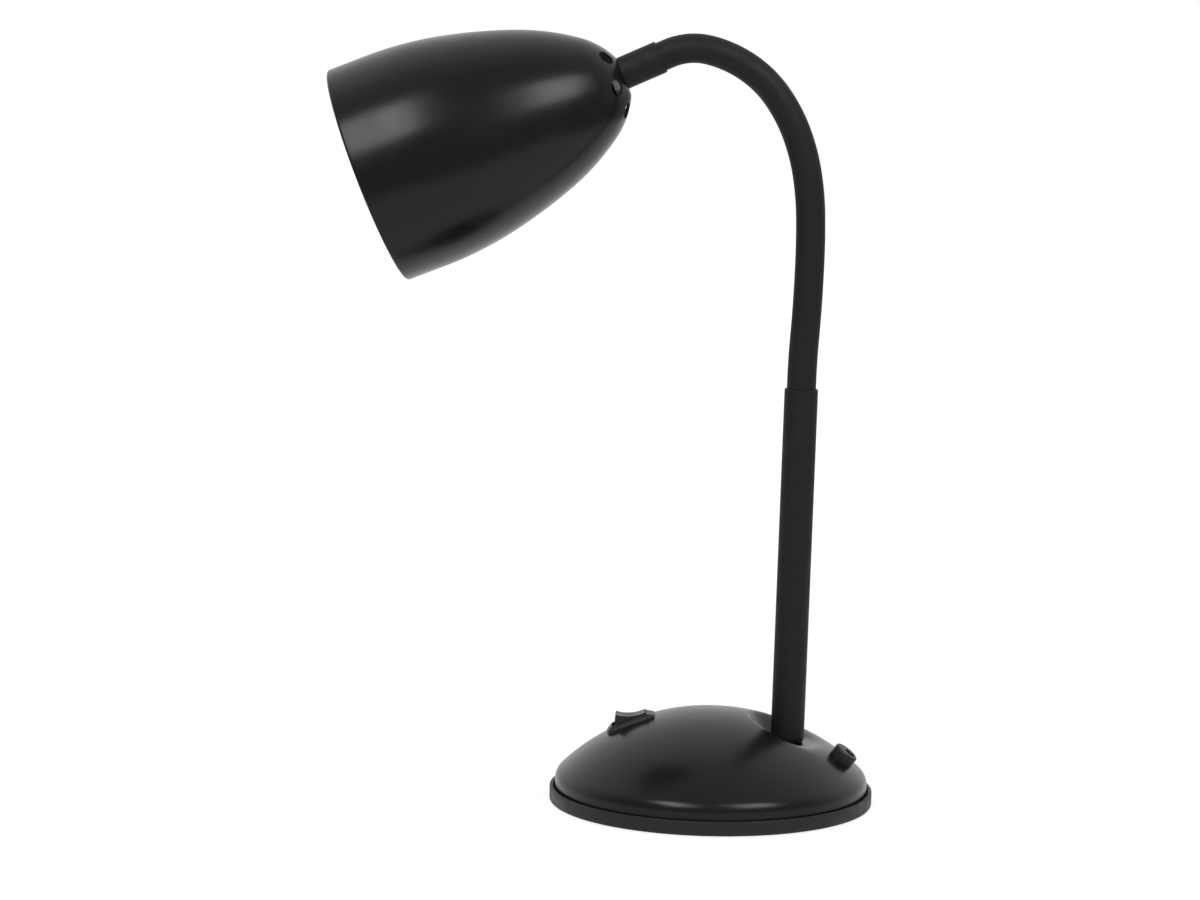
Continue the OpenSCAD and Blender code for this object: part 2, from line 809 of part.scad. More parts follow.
module neck_cover_head() {
    color([0.13, 0.13, 0.13]) at_pivot(LINKS) ring(cover_d / 2, cover_bore / 2, stub_l + cover_in);
}

// Everything on the neck's side of the plane of the shade's flat top
module above_shade() {
    intersection() {
        children();
        shade_frame() translate([0, 0, shade_top]) cylinder(r = shade_r, h = shade_r);
    }
}

module neck_end_ferrule() {
    step_z = stub_l + cover_in + 0.5;
    nipple_core_r = thread_d / 2 - 1.2;
    color([0.65, 0.65, 0.67]) difference() {
        union() {
            above_shade() at_pivot(LINKS) union() {
                cylinder(r = hose_d / 2, h = step_z);
                translate([0, 0, step_z]) cylinder(r = ferrule_body_d / 2 - cover_gap, h = cuff_l);
            }
            shade_frame() translate([0, 0, shade_top - nipple_l]) cylinder(r = thread_d / 2, h = nipple_l);
            shade_frame() translate([0, 0, shade_top - 2]) cylinder(r = nipple_core_r, h = 6);
        }
        at_pivot(LINKS) sphere(r = ball_r + ball_gap);
        at_pivot(LINKS) translate([0, 0, 2]) cylinder(r = 3.3, h = junction_z - 1);
        shade_frame() translate([0, 0, shade_top - nipple_l - CUT]) cylinder(r = 3.3, h = nipple_l + 4);
    }
}

module neck_cuff() {
    edge = 0.5;
    step_z = stub_l + cover_in + 0.3;
    wall_r = cuff_d / 2;
    color([0.12, 0.12, 0.12]) above_shade() at_pivot(LINKS) rotate_extrude() polygon([
        [cover_d / 2 + cover_gap, cuff_z], [wall_r - edge, cuff_z], [wall_r, cuff_z + edge],
        [wall_r, junction_z + 2], [ferrule_body_d / 2, junction_z + 2],
        [ferrule_body_d / 2, step_z], [cover_d / 2 + cover_gap, step_z]]);
}

// Points of the mains lead in the upright plane, from the terminal block to the lampholder
function stem_point(z) = [stem_x, seat_z] + z * [sin(stem_lean), cos(stem_lean)];
stem_stations = 15;
link_stations = 3;
lead_low = -spigot_l + 2;
head_dir = [-sin(heading(LINKS)), cos(heading(LINKS))];
shade_dir = [-sin(heading(LINKS) - shade_tilt), cos(heading(LINKS) - shade_tilt)];
junction = pivot(LINKS) + junction_z * head_dir;
sag_dir = [-shade_dir[1], shade_dir[0]];
nipple_mid = junction + shade_sag * sag_dir;
lead_route = concat(
    LEAD_ENTRY,
    [for (i = [0:stem_stations]) stem_point(lead_low + (pivot_z - lead_low) * i / stem_stations)],
    [for (k = [0:LINKS - 1], s = [1:link_stations])
        let (b = LINK_BENDS[k] * s / link_stations,
             half = heading(k) + b / 2,
             step = 2 * link_l / (LINK_BENDS[k] * PI / 180) * sin(b / 2))
        pivot(k) + step * [-sin(half), cos(half)]],
    [pivot(LINKS) + 8 * head_dir, pivot(LINKS) + 15 * head_dir,
     (junction + nipple_mid) / 2,
     nipple_mid + 8 * shade_dir, nipple_mid + (nipple_l + 1) * shade_dir]);

module mains_lead() {
    color([0.85, 0.85, 0.82])
        sweep([for (p = lead_route) [p[0], 0, p[1]]], lead_d / 2, 8);
}

// Shade

module shade() {
    color([0.13, 0.13, 0.14]) shade_frame() difference() {
        union() {
            rotate_extrude($fn = 180) polygon(concat(
                shade_line(0), [[0, shade_top], [0, under_top]],
                [for (i = [len(shade_line(0)) - 1:-1:0]) shade_line(shade_wall)[i]]));
            rotate_extrude($fn = 180) translate([shade_r - rim_bead, rim_bead]) circle(r = rim_bead, $fn = 24);
        }
        translate([0, 0, under_top - CUT - 1]) cylinder(r = thread_d / 2 + cover_gap, h = shade_wall + 2 * CUT + 1);
        vents();
    }
}

module vents() {
    reach = 4;
    around(vent_count, 180 - vent_turn, vent_ring)
        translate([0, 0, vent_t]) rotate([0, 90 - vent_a, 0])
            translate([0, 0, -reach]) cylinder(r = vent_d / 2, h = 2 * reach);
}

module shade_washer() {
    color([0.75, 0.75, 0.77]) shade_frame() translate([0, 0, under_top - holder_washer_t])
        ring(holder_washer_r, thread_d / 2 + cover_gap, holder_washer_t);
}

module shade_nut() {
    color([0.75, 0.75, 0.77]) shade_frame() translate([0, 0, nut_low]) nut(holder_nut_t);
}

// Lampholder

module lampholder_cap() {
    r = holder_d / 2;
    hub_r = 8;
    hub_h = 8;
    color([0.12, 0.12, 0.12]) shade_frame() difference() {
        rotate_extrude() polygon([
            [0, cap_top], [hub_r, cap_top], [r - 1.5, cap_top - 4.5], [r, cap_top - 7], [r, cap_low],
            [r - cap_wall, cap_low], [r - cap_wall, cap_top - 7.5], [r - 3.4, cap_top - 6],
            [hub_r, cap_top - 2], [hub_r, cap_top - hub_h], [0, cap_top - hub_h]]);
        translate([0, 0, cap_low]) cylinder(r = thread_d / 2 + fit_gap, h = cap_h + CUT);
    }
}

module lampholder_insert() {
    r = holder_d / 2 - tube_wall - fit_gap;
    color([0.92, 0.92, 0.9]) shade_frame() difference() {
        translate([0, 0, insert_low]) cylinder(r = r, h = insert_h);
        for (side = [-1, 1]) translate([0, side * 7, insert_low - CUT])
            cylinder(r = 1.6, h = insert_h + 2 * CUT);
    }
}

module lampholder_shell() {
    r = bulb_base_d / 2 + shell_gap;
    color([0.8, 0.65, 0.3]) shade_frame() translate([0, 0, shell_top - shell_l])
        ring(r + shell_wall, r, shell_l);
}

module lampholder_contact() {
    color([0.8, 0.65, 0.3]) shade_frame()
        translate([-1.5, -3, base_top + bulb_tip_h]) cube([3, 6, insert_low - base_top - bulb_tip_h]);
}

module lampholder_tube() {
    r = holder_d / 2;
    bore = r - tube_wall;
    lip_r = bulb_base_d / 2 + 2.2;
    color([0.12, 0.12, 0.12]) shade_frame() rotate_extrude() polygon([
        [bore, cap_low], [r, cap_low], [r, tube_low + 1], [r - 1, tube_low],
        [lip_r, tube_low], [lip_r, tube_low + 2], [bore, tube_low + 2]]);
}

// Bulb

module bulb_base() {
    r = bulb_base_d / 2;
    color([0.8, 0.8, 0.82]) shade_frame() rotate_extrude() polygon([
        [0, base_low], [r, base_low], [r, base_top - 2.6], [r - 2.6, base_top],
        [bulb_tip_r, base_top], [bulb_tip_r - 0.6, base_top + bulb_tip_h], [0, base_top + bulb_tip_h]]);
}

// Outline of the bulb's glass as radius and height, sunk by a depth
function glass_line(depth) =
    let (r = bulb_d / 2 - depth, a = 38, neck = glass_neck_r - depth)
    concat(arc([0, globe_z], r, -90, a, 20), [[neck + 3.4, base_low - 11], [neck + 0.6, base_low - 4],
        [neck, base_low - 1]]);

module bulb_glass() {
    neck = glass_neck_r;
    color([0.95, 0.95, 0.93]) shade_frame() difference() {
        rotate_extrude() polygon(concat(glass_line(0), [[neck, glass_top], [0, glass_top]]));
        rotate_extrude() polygon(concat(glass_line(glass_t), [[0, base_low - 1]]));
        translate([0, 0, base_low - 2]) cylinder(r = neck - glass_t + 0.05, h = 2);
        translate([0, 0, base_low]) cylinder(r = bulb_base_d / 2 + fit_gap, h = glass_top);
    }
}

base_tray();
rubber_feet();
ballast_disc();
ballast_screws();
base_dome();
dome_posts();
tray_screws();
cord_gland();
terminal_block();
terminal_screws();
switch_wires();
switch_housing();
switch_terminals();
switch_rocker();
switch_plunger();
switch_spring();
switch_contact();
stem_tube();
stem_cover();
stem_washer();
stem_nut();
neck_base_plug();
mains_lead();
neck_cover_foot();
for (k = [1:LINKS]) neck_hose(k);
for (k = [1:LINKS]) neck_cover(k);
neck_cover_head();
neck_end_ferrule();
neck_cuff();
shade();
shade_washer();
shade_nut();
lampholder_cap();
lampholder_insert();
lampholder_shell();
lampholder_contact();
lampholder_tube();
bulb_base();
bulb_glass();
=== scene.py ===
# %% [markdown]
# # A black desk lamp with a bendable neck
#
# The lamp stands on a round pressed dome in a plastic tray. A straight stem rises from the dome, a
# soft-covered steel gooseneck curves forward from it, and a spun bell shade hangs at its end. The
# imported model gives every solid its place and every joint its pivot, so this script starts by loading
# it. The cells below then make the pieces that need a finer shape than a solid has, and give each
# surface its finish.

import json
import math

import bmesh
import bpy
from mathutils import Matrix, Vector

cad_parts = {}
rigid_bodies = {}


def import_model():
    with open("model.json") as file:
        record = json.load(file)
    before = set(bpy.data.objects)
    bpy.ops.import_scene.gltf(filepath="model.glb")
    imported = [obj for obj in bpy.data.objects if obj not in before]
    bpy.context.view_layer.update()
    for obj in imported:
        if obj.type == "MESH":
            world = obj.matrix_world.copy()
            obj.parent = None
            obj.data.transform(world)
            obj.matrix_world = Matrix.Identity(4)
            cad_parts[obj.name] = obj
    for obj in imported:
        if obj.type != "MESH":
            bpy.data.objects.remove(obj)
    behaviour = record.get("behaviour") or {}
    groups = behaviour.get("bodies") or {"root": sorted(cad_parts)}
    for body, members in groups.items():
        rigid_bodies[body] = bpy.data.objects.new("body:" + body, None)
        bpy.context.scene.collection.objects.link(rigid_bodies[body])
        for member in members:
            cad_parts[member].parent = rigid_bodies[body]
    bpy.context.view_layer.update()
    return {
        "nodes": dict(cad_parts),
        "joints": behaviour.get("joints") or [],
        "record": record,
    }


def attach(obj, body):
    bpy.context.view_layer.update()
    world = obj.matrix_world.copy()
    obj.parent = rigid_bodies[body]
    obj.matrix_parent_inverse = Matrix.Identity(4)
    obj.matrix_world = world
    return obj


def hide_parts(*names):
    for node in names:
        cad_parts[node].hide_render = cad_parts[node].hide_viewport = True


for left_over in list(bpy.data.objects):
    bpy.data.objects.remove(left_over)
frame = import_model()

# %% [markdown]
# ## Measures
#
# Everything below is in millimetres, because that is how a lamp is drawn, and turned into metres when
# a mesh is made. The base, the switch and the shade have the same few measures as the solids. The
# neck's are not written down at all: its pivots come from the joints, and the bends between them
# follow, because each length is an arc that leaves its pivot in the direction of the last one's end.
#
# PLAY is the clearance between pieces that slide into each other, and HAIR only keeps two faces from
# lying in one plane. STUB is the straight length between the stem and the first pivot, and between the
# last pivot and the cuff. The shade's outline is four arcs, each with its radius and its turn in degrees.

# %% Measures of the base, stem and shade
MM = 0.001
PLAY = 0.1
HAIR = 0.02
BASE_R = 80.0
TRAY_TOP = 8.0
TRAY_WALL = 2.0
TRAY_LOW = 0.8
TRAY_FLOOR_TOP = 2.8
DOME_R = 77.4
DOME_TOP = 47.0
DOME_CURVE = 108.0
DOME_WALL = 1.2
SHOULDER_R = 8.0
STEM_FOOT = Vector((37.5, 0.0, 32.0))
STEM_LENGTH = 176.3
STEM_COVER_R = 8.25
STEM_TUBE_R = 6.5
SEAT_FLAT_R = 9.5
SEAT_LIP_R = 20.5
SEAT_RUN_OUT = 14.0
SLEEVE_R = 7.175
SLEEVE_BORE = 5.95
CUFF_R = 8.05
CUFF_LENGTH = 20.3
STUB = 4.0
SHADE_R = 54.8
SHADE_STRAIGHT = 19.5
SHADE_WALL = 1.0
RIM_BEAD = 1.2
SHADE_TILT = math.radians(2.5)
SHADE_SAG = 2.1
SHADE_ARCS = ((185.0, 13.0), (265.0, 7.0), (120.0, 15.5), (41.0, 30.0))

DOME_CENTRE_Z = DOME_TOP - DOME_CURVE
SHOULDER_X = DOME_R - SHOULDER_R
SHOULDER_Z = DOME_CENTRE_Z + math.sqrt((DOME_CURVE - SHOULDER_R) ** 2 - SHOULDER_X ** 2)
SHOULDER_TURN = math.atan2(SHOULDER_Z - DOME_CENTRE_Z, SHOULDER_X)

# %% The neck's pivots and the direction of the neck at each of them
NECK_JOINTS = [joint for joint in frame["joints"] if "bend" in joint["name"] or "sway" in joint["name"]]
PIVOTS = [Vector(joint["pos_m"]) / MM for joint in NECK_JOINTS]
NECK_BODIES = [joint["parent"] for joint in NECK_JOINTS] + [NECK_JOINTS[-1]["child"]]


def heading_between(low, high):
    """The direction from one point to another, as an angle from upright towards the front."""
    return math.atan2(low.x - high.x, high.z - low.z)


def along(heading):
    """The unit vector in a heading, in the lamp's upright plane."""
    return Vector((-math.sin(heading), 0, math.cos(heading)))


STEM_LEAN = -heading_between(STEM_FOOT, PIVOTS[0])
HEADINGS = [-STEM_LEAN]
LINK_BENDS = []
LINK_LENGTHS = []
for low, high in zip(PIVOTS, PIVOTS[1:]):
    half_bend = heading_between(low, high) - HEADINGS[-1]
    LINK_BENDS.append(2 * half_bend)
    LINK_LENGTHS.append((high - low).length * half_bend / math.sin(half_bend))
    HEADINGS.append(HEADINGS[-1] + 2 * half_bend)
NECK_LENGTH = sum(LINK_LENGTHS)
print("bends:", [round(math.degrees(bend), 1) for bend in LINK_BENDS], "length:", round(NECK_LENGTH, 1))

# %% [markdown]
# ## Frames
#
# A turned piece is easiest to make upright at the origin and to place afterwards. Each of these
# matrices is such a place: the stem's foot, the neck's end, the shade's axis, and points on the dome
# with the normal as their Z.

# %% Places on the lamp


def shift(x, y, z):
    """A move in millimetres."""
    return Matrix.Translation(Vector((x, y, z)))


def tip(angle):
    """A turn in the lamp's upright plane, from +Z towards +X."""
    return Matrix.Rotation(angle, 4, "Y")


def shade_outline(steps, depth=0.0):
    """Points of the shade as (radius, distance from the rim's plane), from the rim to the neck's side."""
    outline = [(SHADE_R - depth, SHADE_STRAIGHT)]
    centre = Vector((SHADE_R - SHADE_ARCS[0][0], SHADE_STRAIGHT))
    turned = 0.0
    for index, (radius, degrees) in enumerate(SHADE_ARCS):
        for step in range(1, steps + 1):
            angle = turned + math.radians(degrees) * step / steps
            outline.append(tuple(centre + (radius - depth) * Vector((math.cos(angle), math.sin(angle)))))
        turned += math.radians(degrees)
        if index + 1 < len(SHADE_ARCS):
            centre += (radius - SHADE_ARCS[index + 1][0]) * Vector((math.cos(turned), math.sin(turned)))
    return outline


def dome_height(radius):
    """The height of the plain dome at a distance from its axis."""
    return DOME_CENTRE_Z + math.sqrt(DOME_CURVE ** 2 - radius ** 2)


def on_dome(x, y):
    """A place on the dome, with its Z square to the surface and its X pointing downhill."""
    radius = math.hypot(x, y)
    return (Matrix.Rotation(math.atan2(y, x), 4, "Z") @ shift(radius, 0, dome_height(radius))
            @ tip(math.asin(radius / DOME_CURVE)))


SWITCH_SPOT = (-40.2, 0.0)
GLAND_SPOT = (64.0, -10.0)
SHADE_TOP = shade_outline(1)[-1][1]
SHADE_FLAT_R = shade_outline(1)[-1][0]
STEM_PLACE = Matrix.Translation(STEM_FOOT) @ tip(STEM_LEAN)
NECK_END = Matrix.Translation(PIVOTS[-1]) @ tip(-HEADINGS[-1])
JUNCTION = STUB + CUFF_LENGTH
SHADE_PLACE = NECK_END @ shift(0, 0, JUNCTION) @ tip(SHADE_TILT + math.pi) @ shift(SHADE_SAG, 0, -SHADE_TOP)
SWITCH_PLACE = on_dome(*SWITCH_SPOT) @ Matrix.Rotation(math.pi, 4, "Z")
GLAND_PLACE = on_dome(*GLAND_SPOT)
print("shade depth:", round(SHADE_TOP, 2), "flat radius:", round(SHADE_FLAT_R, 2))

# %% [markdown]
# ## Finishes
#
# Nearly everything outside is black, so the finishes differ in gloss and grain and hardly in colour.
# Each one is a Principled shader whose roughness and bump come from noise in object space, at the
# size that the real grain has. The noise is small and weak: satin lacquer shows it only where a
# highlight crosses it.

# %% Helpers that make a finish with grain
PATCH_SIZE = 24
TINT_SIZE = 9
NOISE_LOW = 0.3
NOISE_HIGH = 0.7


def ramp(tree, source, low, high, first=0.0, last=1.0, shape="LINEAR"):
    """A Map Range node on an output: low to high becomes first to last."""
    node = tree.nodes.new("ShaderNodeMapRange")
    node.interpolation_type = shape
    for socket, value in zip(("From Min", "From Max", "To Min", "To Max"), (low, high, first, last)):
        node.inputs[socket].default_value = value
    tree.links.new(source, node.inputs["Value"])
    return node.outputs["Result"]


def finish(name, colour, roughness, grain, depth, spread=0.08, tint=0.12, **sockets):
    """A finish with grain of the given size in mm, a bump of the given depth in mm and uneven gloss."""
    material = bpy.data.materials.new(name)
    material.use_nodes = True
    nodes = material.node_tree.nodes
    links = material.node_tree.links
    shader = nodes["Principled BSDF"]
    place = nodes.new("ShaderNodeTexCoord")

    def noise(size, detail):
        node = nodes.new("ShaderNodeTexNoise")
        node.inputs["Scale"].default_value = 1 / (size * MM)
        node.inputs["Detail"].default_value = detail
        links.new(place.outputs["Object"], node.inputs["Vector"])
        return node.outputs["Fac"]

    patches = noise(PATCH_SIZE * grain, 3.0)
    gloss = ramp(material.node_tree, patches, NOISE_LOW, NOISE_HIGH, roughness - spread, roughness + spread)
    links.new(gloss, shader.inputs["Roughness"])
    shade = nodes.new("ShaderNodeMix")
    shade.data_type = "RGBA"
    shade.inputs["A"].default_value = (*[channel * (1 - tint) for channel in colour], 1.0)
    shade.inputs["B"].default_value = (*[min(1.0, channel * (1 + tint)) for channel in colour], 1.0)
    links.new(noise(TINT_SIZE * grain, 4.0), shade.inputs["Factor"])
    links.new(shade.outputs["Result"], shader.inputs["Base Color"])
    bump = nodes.new("ShaderNodeBump")
    bump.inputs["Strength"].default_value = 1.0
    bump.inputs["Distance"].default_value = depth * MM
    links.new(noise(grain, 2.0), bump.inputs["Height"])
    links.new(bump.outputs["Normal"], shader.inputs["Normal"])
    for socket, value in sockets.items():
        shader.inputs[socket.replace("_", " ")].default_value = value
    return material


# %% The finishes
SATIN_LACQUER = finish("satin_lacquer", (0.0052, 0.0052, 0.0054), 0.26, 0.9, 0.004, spread=0.03,
                       Specular_IOR_Level=0.23)
WHITE_LACQUER = finish("white_inner_lacquer", (0.78, 0.78, 0.75), 0.45, 1.2, 0.01, tint=0.03)
SOFT_COVER = finish("soft_sleeve", (0.008, 0.008, 0.0082), 0.58, 0.5, 0.02, spread=0.06,
                    Specular_IOR_Level=0.2)
GRAINED_PLASTIC = finish("grained_tray_plastic", (0.012, 0.012, 0.0123), 0.5, 0.35, 0.02,
                         Specular_IOR_Level=0.25)
SWITCH_PLASTIC = finish("switch_plastic", (0.01, 0.01, 0.0103), 0.38, 0.4, 0.01, Specular_IOR_Level=0.3)
FOOT_RUBBER = finish("foot_rubber", (0.05, 0.05, 0.05), 0.8, 0.5, 0.03)
CAST_BALLAST = finish("cast_ballast", (0.11, 0.11, 0.115), 0.65, 1.5, 0.12, Metallic=1.0)
ZINC_STEEL = finish("zinc_plated_steel", (0.55, 0.56, 0.57), 0.32, 0.8, 0.01, Metallic=1.0)
HOSE_STEEL = finish("hose_steel", (0.42, 0.42, 0.43), 0.4, 0.6, 0.02, Metallic=1.0)
CONTACT_BRASS = finish("contact_brass", (0.72, 0.53, 0.24), 0.3, 0.7, 0.01, Metallic=1.0)
BULB_METAL = finish("bulb_aluminium", (0.72, 0.73, 0.75), 0.3, 0.8, 0.01, Metallic=1.0)
BLOCK_PLASTIC = finish("terminal_block_plastic", (0.72, 0.72, 0.68), 0.5, 0.6, 0.015, tint=0.04)
LEAD_SHEATH = finish("lead_sheath", (0.62, 0.62, 0.58), 0.5, 0.8, 0.02, tint=0.05)
WIRE_BLUE = finish("wire_insulation", (0.03, 0.08, 0.3), 0.4, 0.5, 0.01)
INSERT_CERAMIC = finish("insert_ceramic", (0.74, 0.73, 0.7), 0.4, 0.9, 0.02, tint=0.04)
OPAL_GLASS = finish("opal_bulb_glass", (0.8, 0.8, 0.77), 0.22, 2.0, 0.004, spread=0.03, tint=0.02)
print("finishes:", len(bpy.data.materials))

# %% [markdown]
# ## Ways of making a mesh
#
# Most of the lamp is turned on a lathe, so three helpers do most of the work. One turns an outline
# round an axis, one rounds the corners of an outline first, because no real edge is perfectly sharp,
# and one cuts holes with a Boolean and keeps the result as the mesh.

# %% Helpers for meshes
MERGE_DISTANCE = 0.0005


def in_scene(name, data):
    """A new object in the scene, made of a mesh, a light or a camera."""
    made = bpy.data.objects.new(name, data)
    bpy.context.scene.collection.objects.link(made)
    return made


def circle(count):
    """The cosine and sine at so many equal steps round a circle."""
    turns = [2 * math.pi * step / count for step in range(count)]
    return [(math.cos(turn), math.sin(turn)) for turn in turns]


def new_piece(name, points, faces, surface, place=Matrix.Identity(4), crease=32.0):
    """A closed mesh from points in millimetres, normals outwards, smooth except at sharp edges."""
    mesh = bpy.data.meshes.new(name)
    mesh.from_pydata([place @ Vector(point) * MM for point in points], [], faces)
    shape = bmesh.new()
    shape.from_mesh(mesh)
    bmesh.ops.remove_doubles(shape, verts=shape.verts, dist=MERGE_DISTANCE * MM)
    bmesh.ops.recalc_face_normals(shape, faces=shape.faces)
    shape.to_mesh(mesh)
    shape.free()
    mesh.materials.append(surface)
    mesh.shade_smooth()
    mesh.set_sharp_from_angle(angle=math.radians(crease))
    return in_scene(name, mesh)


def rounded(corners, steps=5):
    """A closed outline from (x, y, rounding) corners, each one turned into an arc of that radius."""
    outline = []
    for index, (x, y, radius) in enumerate(corners):
        here = Vector((x, y))
        if radius == 0:
            outline.append((x, y))
            continue
        back = (Vector(corners[index - 1][:2]) - here).normalized()
        ahead = (Vector(corners[(index + 1) % len(corners)][:2]) - here).normalized()
        half = math.acos(max(-1.0, min(1.0, back.dot(ahead)))) / 2
        reach = radius / math.tan(half)
        weight = math.sin(half)
        for step in range(steps + 1):
            u = step / steps
            low = (1 - u) ** 2
            mid = 2 * weight * u * (1 - u)
            high = u ** 2
            spot = low * (here + reach * back) + mid * here + high * (here + reach * ahead)
            spot /= low + mid + high
            outline.append((spot.x, spot.y))
    return outline


def loft(name, rings, surface, place=Matrix.Identity(4), around=False, crease=32.0):
    """A mesh through rings of equal length. Around joins the last to the first, or else both are capped."""
    count = len(rings[0])
    points = [point for ring in rings for point in ring]
    faces = []
    for low in range(len(rings) if around else len(rings) - 1):
        high = (low + 1) % len(rings)
        for side in range(count):
            after = (side + 1) % count
            corners = (low * count + side, low * count + after, high * count + after, high * count + side)
            faces.append(corners)
    if not around:
        faces.append(tuple(range(count)))
        faces.append(tuple(range(len(points) - count, len(points))))
    return new_piece(name, points, faces, surface, place, crease)


def turned(name, outline, surface, place=Matrix.Identity(4), sides=160, crease=32.0):
    """A piece turned on a lathe: a closed outline of (radius, height) goes round the local Z axis."""
    rings = [[(radius * x, radius * y, height) for radius, height in outline] for x, y in circle(sides)]
    return loft(name, rings, surface, place, around=True, crease=crease)


def rod(name, radius, low, high, surface, place, sides):
    """A plain cylinder between two heights, for cutting and joining."""
    outline = [(0, low), (radius, low), (radius, high), (0, high)]
    return turned(name, outline, surface, place, sides)


def joined(name, parts):
    """Several meshes as one piece."""
    shape = bmesh.new()
    for part in parts:
        shape.from_mesh(part.data)
    mesh = bpy.data.meshes.new(name)
    shape.to_mesh(mesh)
    shape.free()
    for surface in parts[0].data.materials:
        mesh.materials.append(surface)
    for part in parts:
        bpy.data.objects.remove(part)
    return in_scene(name, mesh)


def cut(made, cutters, crease=32.0, operation="DIFFERENCE"):
    """Cuts the cutters out of a piece for good, and removes them."""
    for cutter in cutters:
        change = made.modifiers.new(cutter.name, "BOOLEAN")
        change.operation = operation
        change.object = cutter
        change.solver = "EXACT"
    graph = bpy.context.evaluated_depsgraph_get()
    mesh = bpy.data.meshes.new_from_object(made.evaluated_get(graph))
    made.modifiers.clear()
    made.data = mesh
    mesh.shade_smooth()
    mesh.set_sharp_from_angle(angle=math.radians(crease))
    for cutter in cutters:
        bpy.data.objects.remove(cutter)


def soften(made, width, segments=3, angle=35.0):
    """Rounds the sharp edges of a piece or a carried-over node with a bevel of the given width in mm."""
    bevel = made.modifiers.new("edges", "BEVEL")
    bevel.width = width * MM
    bevel.segments = segments
    bevel.limit_method = "ANGLE"
    bevel.angle_limit = math.radians(angle)


def settle(made, body, slot, *nodes):
    """Puts a finished piece on its body and hides the solids whose place it takes. The slot is not used."""
    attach(made, body)
    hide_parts(*nodes)
    print(made.name, "rides on", body, "with", len(made.data.polygons), "faces")


# %% [markdown]
# ## The tray
#
# The lamp stands in a shallow plastic tray whose rim shows as a plain black band. It is one turned
# outline with small rounded edges, a millimetre at the foot and less at the rim. The recesses for the
# feet and the screws are cut into its underside, so that it looks right from below as well.

# %% Make the tray
FOOT_RING = 67.0
FOOT_R = 6.0
FOOT_TOP = TRAY_LOW + 0.7
FOOT_PLAY = 0.05
POST_RING = 59.0
POST_SCREW_HOLE_R = 1.55
BALLAST_SCREW_RING = 30.0
BALLAST_SCREW_HOLE_R = 2.05
SCREW_SLOPE = 1.9


def round_spots(ring, count, first):
    """Places on a circle round the middle of the base."""
    angles = [math.radians(first + step * 360 / count) for step in range(count)]
    return [(ring * math.cos(angle), ring * math.sin(angle)) for angle in angles]


def screw_cutter(x, y, radius):
    """The hole for a countersunk screw, open below."""
    outline = [(0, TRAY_LOW - 1), (radius + SCREW_SLOPE, TRAY_LOW - 1), (radius + SCREW_SLOPE, TRAY_LOW),
               (radius, TRAY_LOW + SCREW_SLOPE), (radius, TRAY_FLOOR_TOP + 1), (0, TRAY_FLOOR_TOP + 1)]
    return turned("screw_cutter", outline, GRAINED_PLASTIC, shift(x, y, 0), sides=40)


tray_outline = rounded([
    (0, TRAY_LOW, 0), (BASE_R, TRAY_LOW, 1.1), (BASE_R, TRAY_TOP, 0.5), (BASE_R - TRAY_WALL, TRAY_TOP, 0.5),
    (BASE_R - TRAY_WALL, TRAY_FLOOR_TOP, 0.6), (0, TRAY_FLOOR_TOP, 0)])
tray = turned("tray", tray_outline, GRAINED_PLASTIC, sides=256)
foot_cutters = [rod("foot_cutter", FOOT_R + FOOT_PLAY, 0, FOOT_TOP, GRAINED_PLASTIC, shift(x, y, 0), 64)
                for x, y in round_spots(FOOT_RING, 4, 45)]
screw_cutters = [screw_cutter(x, y, POST_SCREW_HOLE_R) for x, y in round_spots(POST_RING, 3, 90)]
screw_cutters += [screw_cutter(x, y, BALLAST_SCREW_HOLE_R) for x, y in round_spots(BALLAST_SCREW_RING, 2, 0)]
cut(tray, [joined("tray_cutters", foot_cutters + screw_cutters)])
settle(tray, "base", "black_plastic", "base_tray")

# %% [markdown]
# ## The rubber feet
#
# Four round feet sit in their recesses. Moulded rubber has soft edges, so each foot is turned with
# its lower edge well rounded, and the four are kept as one piece, as the solids are.

# %% Make the feet
foot_outline = rounded([(0, 0, 0), (FOOT_R, 0, 0.5), (FOOT_R, FOOT_TOP, 0), (0, FOOT_TOP, 0)])
feet = joined("feet", [turned("foot", foot_outline, FOOT_RUBBER, shift(x, y, 0), sides=64)
                       for x, y in round_spots(FOOT_RING, 4, 45)])
settle(feet, "base", "foot_rubber", "rubber_feet")

# %% [markdown]
# ## The pressed dome
#
# The dome is one sheet of steel: part of a large sphere, a tight shoulder and a short upright skirt.
# Round the stem the press has drawn it down to a level seat. Its wall is steep on the uphill side,
# where the lip catches the light, and runs out gently downhill. A turned outline can't have that
# seat, so the dome is a height over the plan, and the seat is drawn into it. The rings of the grid
# are crowded round the stem by a Moebius map, which sends circles to circles: the outermost ring is
# still exactly the dome's shoulder.

# %% The dome's height over the plan
DRAW_SOFTNESS = 2.5
LIP_ROUNDING = 0.22
FLOOR_ROUNDING = 0.3


def drawn_share(travel):
    """How far the sheet is drawn down between the lip (0) and the seat (1): a wall with rounded ends."""
    slope = 1 / (1 - (LIP_ROUNDING + FLOOR_ROUNDING) / 2)
    if travel <= 0:
        return 0.0
    if travel < LIP_ROUNDING:
        return slope * travel ** 2 / (2 * LIP_ROUNDING)
    if travel < 1 - FLOOR_ROUNDING:
        return slope * (travel - LIP_ROUNDING / 2)
    return 1 - slope * max(0.0, 1 - travel) ** 2 / (2 * FLOOR_ROUNDING)


